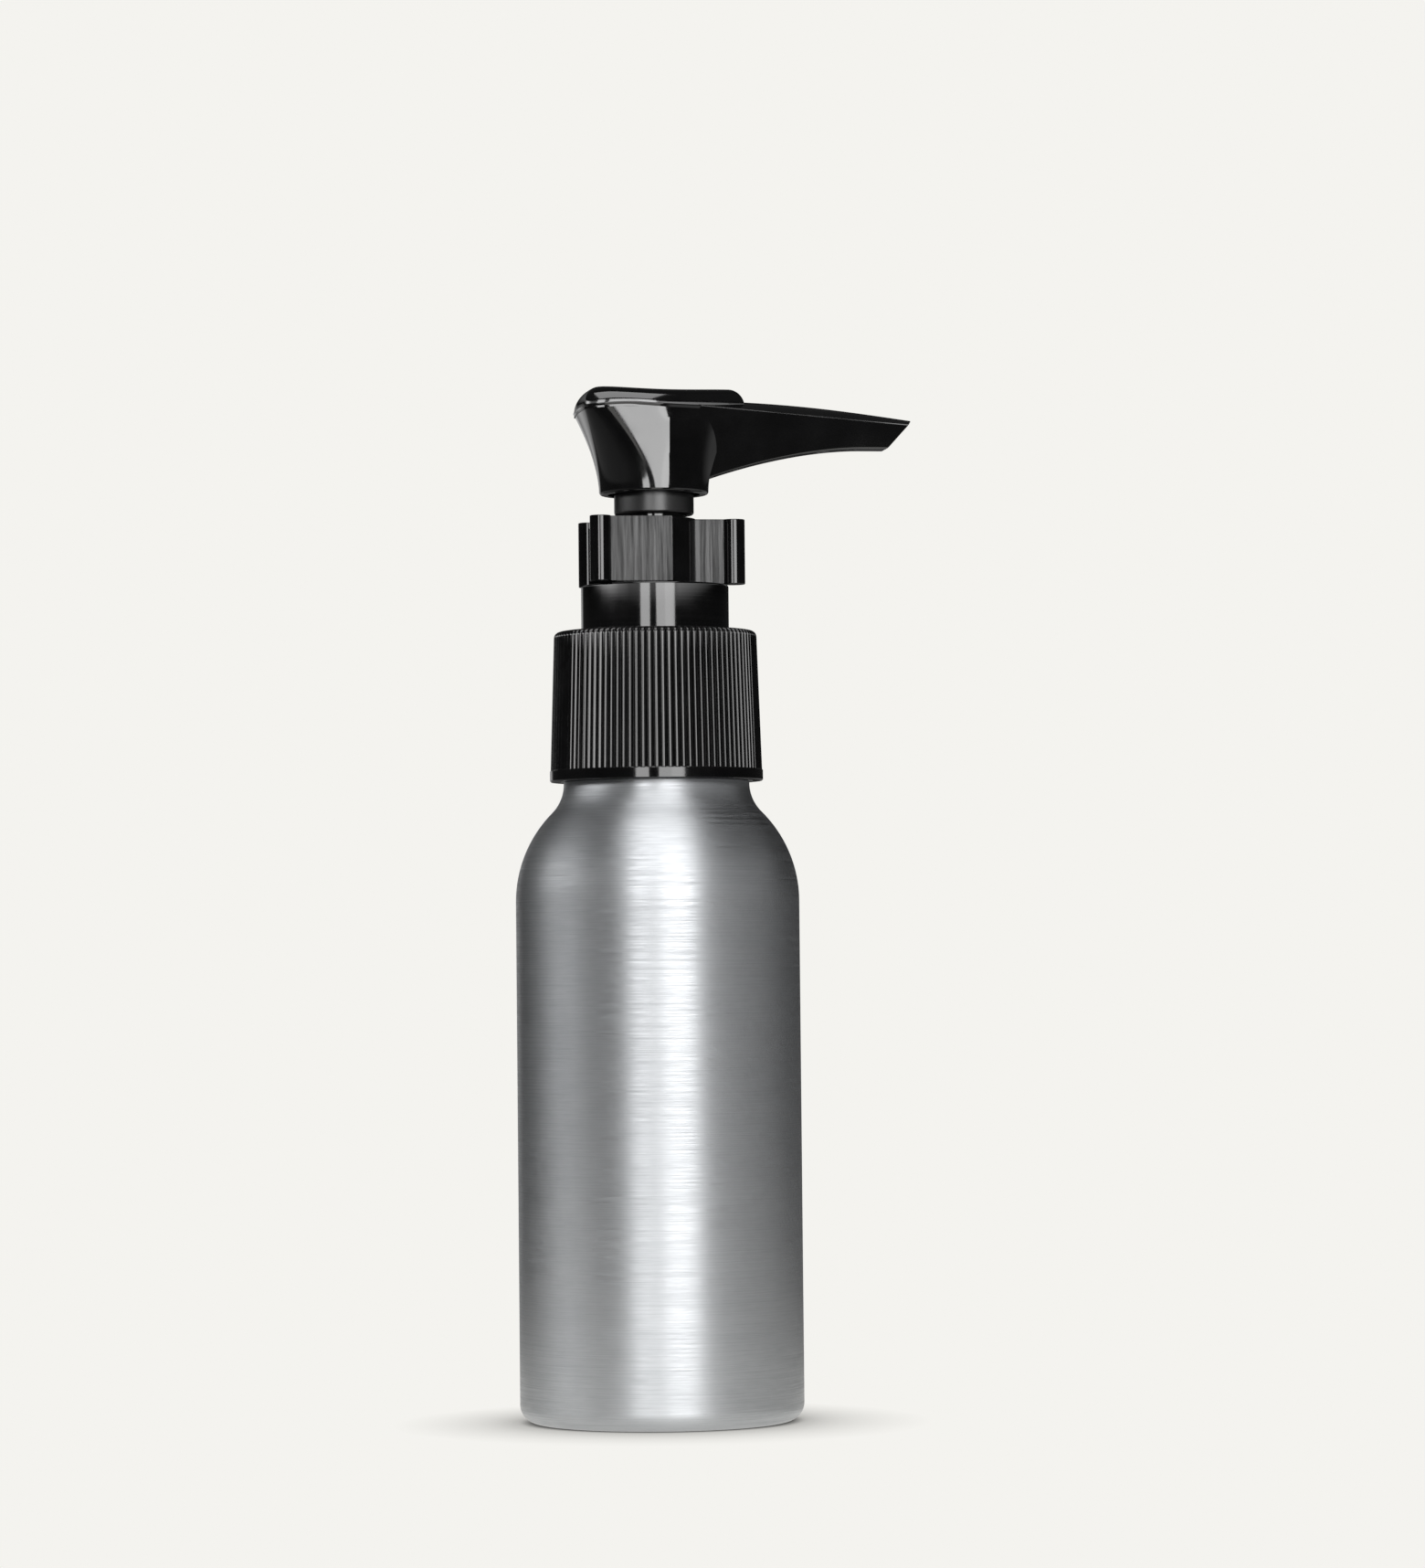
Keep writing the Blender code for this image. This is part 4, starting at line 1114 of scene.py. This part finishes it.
def rimAt(x):  # the rim's height there
    share = min(max((x + head["rear"]) / head["rimSpan"], 0), 1)
    return head["rim"] + head["rimLift"] * math.sin(math.pi * share) ** 1.5


def headBody(base):
    h = head
    half = []
    flares = (h["flares"][0],) + h["flares"]
    softened = headOutline(h["front"], h["creaseSoft"])
    for number, (points, softPoints) in enumerate(zip(headOutline(h["front"]), softened)):
        for step, (point, softPoint) in enumerate(zip(points, softPoints)):
            if step == 0 and number:
                continue
            share = step / (len(points) - 1)
            turn = math.radians(mixed(h["turns"][number], h["turns"][number + 1], share))
            half.append((point, softPoint, turn, mixed(flares[number], flares[number + 1], share)))
    rings = []
    edge = h["skirtEdge"]
    count = h["bodyRows"]
    rows = [(0, h["skirt"] - edge, 0)]
    rows += [(0, h["skirt"] - edge + r, z) for r, z in arcOf((0, edge), edge, -90, 0, 8)[1:]]
    rows += [(step / count, h["skirt"], None) for step in range(1, count + 1)]
    softFrom, softOver = h["softShares"]
    lipFoot, lipOut = h["lip"]
    small = 1 - lipOut / h["halfWidth"]
    for share, radius, height in rows:
        ring = []
        for sharp, soft, turn, flare in half:
            blend = max(share - softFrom, 0) / softOver
            x, y = (mixed(a, b, blend * blend * (3 - 2 * blend)) for a, b in zip(sharp, soft))
            bend = share**flare
            z = height if height is not None else mixed(edge, rimAt(x) - lipFoot, share)
            across = mixed(radius * math.cos(turn), x * small, bend)
            ring.append((across, mixed(radius * math.sin(turn), y * small, bend), base + z))
        rings.append(mirrored(ring))
    rings.append(mirrored([(x, y, base + rimAt(x) - h["rimEdge"]) for _, (x, y), _, _ in half]))
    for turn in (30, 60, 90):  # the rim's rounded edge
        inset = h["rimEdge"] * (1 - math.cos(math.radians(turn)))
        rise = h["rimEdge"] * (math.sin(math.radians(turn)) - 1)
        shrink = 1 - inset / h["halfWidth"]
        rings.append(mirrored([(x * shrink, y * shrink, base + rimAt(x) + rise) for _, (x, y), _, _ in half]))
    return lofted("pumpHead", rings)


def padHeight(x):
    rear, dip, front = head["padRise"]
    if x < head["padDip"]:
        share = (head["padDip"] - x) / (head["padDip"] + head["rear"])
        return mixed(dip, rear, math.sin(share * math.pi / 2) ** 2)
    share = (x - head["padDip"]) / (head["padFront"][0] - head["padDip"])
    return mixed(dip, front, math.sin(share * math.pi / 2) ** 2)


def thumbPad(base):
    h = head
    half = []
    for number, points in enumerate(headOutline(h["padFront"], h["padSoft"])):
        half += points[1 if number else 0 :]
    middle = (h["padFront"][0] - h["rear"]) / 2
    length = (h["padFront"][0] + h["rear"]) / 2
    wide = h["padHalf"]
    steps = [(h["rimEdge"], foot, 0) for foot in h["padFeet"]]
    for turn in range(6, 91, 6):
        angle = math.radians(turn)
        steps.append((h["rimEdge"] + h["padSlope"] * (1 - math.cos(angle)), 0, math.sin(angle)))
    steps += [(inset, 0, 1) for inset in h["padInsets"]]
    rings = []
    for inset, lift, rise in steps:
        further = inset * (1 + max(inset - h["rimEdge"] - h["padSlope"], 0) / h["padClosing"])
        ring = []
        for x, y in half:
            place = middle + (x - middle) * (length - further) / length
            top = padHeight(place) + h["rim"] - rimAt(place)
            ring.append((place, y * (wide - inset) / wide, base + rimAt(place) + lift + rise * top))
        rings.append(mirrored(ring))
    return lofted("thumbPad", rings)


def nozzleShape(base):
    h = head
    rings = []
    startX, endX = h["nozzle"]
    rootHalf, tipHalf = h["nozzleHalf"]
    roofRoot, roofTip, roofBow = h["roof"]
    underStart, underEnd, underLow, underRise = h["under"]
    low = h["nozzleUnder"]
    flat, filletIn, fillet = h["underFillet"]
    for row in range(h["nozzleRows"] + 1):
        share = row / h["nozzleRows"]
        x = mixed(startX, endX, share)
        half = tipHalf + (rootHalf - tipHalf) * (1 - share) ** h["taper"]
        rim = h["rim"] - h["rimDrop"] * share
        roof = mixed(roofRoot, roofTip, share) + roofBow * math.sin(share * math.pi)
        along = (x - underStart) / (underEnd - underStart)
        under = underLow + underRise * (1 - max(1 - along, 0) ** 2)
        section = lineOf((0, under), (low - flat, under), 3)
        section += arcOf((low - filletIn, under + fillet), fillet, -70, -10, 4)
        edge = [(half - inwards, rim + up) for inwards, up in h["nozzleEdge"]]
        section += lineOf(section[-1], edge[0], 6)[1:] + edge[1:]
        crown = [(half * (1 - s), rim + roof * (1 - (1 - s) ** 2)) for s in [step / 9 for step in range(10)]]
        section += [point for point in crown if point[0] < half - h["crownFrom"]]
        top = rim + roof
        lean = h["slant"] * share**3
        ring = [(x - lean * (top - z) / (top - under), y, base + z) for y, z in section]
        rings.append(mirrored(ring))
    tip = rings[-1]
    middle = [sum(point[axis] for point in tip) / len(tip) for axis in range(3)]
    for small, out in h["tipEdge"]:
        closer = [[mixed(m, p, small) for m, p in zip(middle, point)] for point in tip]
        rings.append([(a + out, b, c) for a, b, c in closer])
    return lofted("nozzle", rings)


def makeHead():
    h = head
    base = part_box("collar")[1][2] / mm + seatGap + h["clipHeight"] + h["play"] + h["hubDrop"]
    body = headBody(base)
    for other in (thumbPad(base), nozzleShape(base)):
        combine(body, other, "UNION")
    wall = h["skirt"] - h["skirtWall"]
    recessTop = base + h["recess"]
    outline = [(h["hub"], base - 1), (wall, base - 1), (wall, recessTop), (h["hub"], recessTop)]
    combine(body, turned("skirtRecess", closed(outline), 96), "DIFFERENCE")
    low = base - h["hubDrop"]
    outline = [(0, low)] + arcOf((h["hub"] - h["hubEdge"], low + h["hubEdge"]), h["hubEdge"], -90, 0, 6)
    outline += [(h["hub"], recessTop + h["hubJoin"]), (0, recessTop + h["hubJoin"])]
    combine(body, turned("headHub", outline, 96), "UNION")
    wider, boreTop = h["bore"]
    bore = h["channel"] + wider
    outline = [(0, low - 1), (h["socketRadius"], low - 1), (h["socketRadius"], low + h["socket"])]
    outline += [(bore, low + h["socket"]), (bore, base + boreTop), (0, base + boreTop)]
    combine(body, turned("stemSocket", outline, 72), "DIFFERENCE")
    run = h["nozzle"][1] + 1
    dropAll()
    bpy.ops.mesh.primitive_cylinder_add(
        vertices=32,
        radius=h["channel"] * mm,
        depth=run * mm,
        location=(run / 2 * mm, h["aside"] * mm, (base + h["channelHeight"]) * mm),
        rotation=(0, math.pi / 2 - math.atan2(h["channelRise"], h["nozzle"][1]), 0),
    )
    combine(body, bpy.context.object, "DIFFERENCE")
    for x, length, z in h["dimples"]:
        dropAll()
        place = (x * mm, h["aside"] * mm, (base + z) * mm)
        bpy.ops.mesh.primitive_uv_sphere_add(segments=32, ring_count=16, radius=mm, location=place)
        bpy.ops.transform.resize(value=(length / 2, *h["dimpleHalf"]))
        combine(body, bpy.context.object, "DIFFERENCE")
    cleanUp(body, 16)
    addStep(body, "WEIGHTED_NORMAL", keep_sharp=True, weight=90)  # large faces lead, so the joins shade evenly
    dress(body, headGloss, hubSatin)

    def onHub(centre, normal):
        return math.hypot(centre.x, centre.y) / mm < h["hub"] + h["near"] and centre.z / mm < base

    dressPart(body, onHub)
    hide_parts("actuator_head")
    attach(body, "head")


makeHead()
print("head made")


# Inner pump pieces keep their solids

innerLooks = {
    "barrel": milky("barrelPlastic", (0.78, 0.78, 0.75), 0.36),
    "dip_tube": milky("tubePlastic", (0.8, 0.8, 0.78), 0.3),
    "piston_rod": milky("rodPlastic", (0.84, 0.84, 0.81), 0.45),
    "piston": milky("pistonPlastic", (0.86, 0.86, 0.83), 0.5),
    "gasket": rubberGrey(),
    "return_spring": drawnSteel(),
    "inlet_ball": drawnSteel(),
}
for node, made in innerLooks.items():
    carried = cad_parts[node]
    for place in range(len(carried.material_slots)):
        carried.material_slots[place].material = made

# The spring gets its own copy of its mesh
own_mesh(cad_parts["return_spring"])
print("inner pieces dressed")
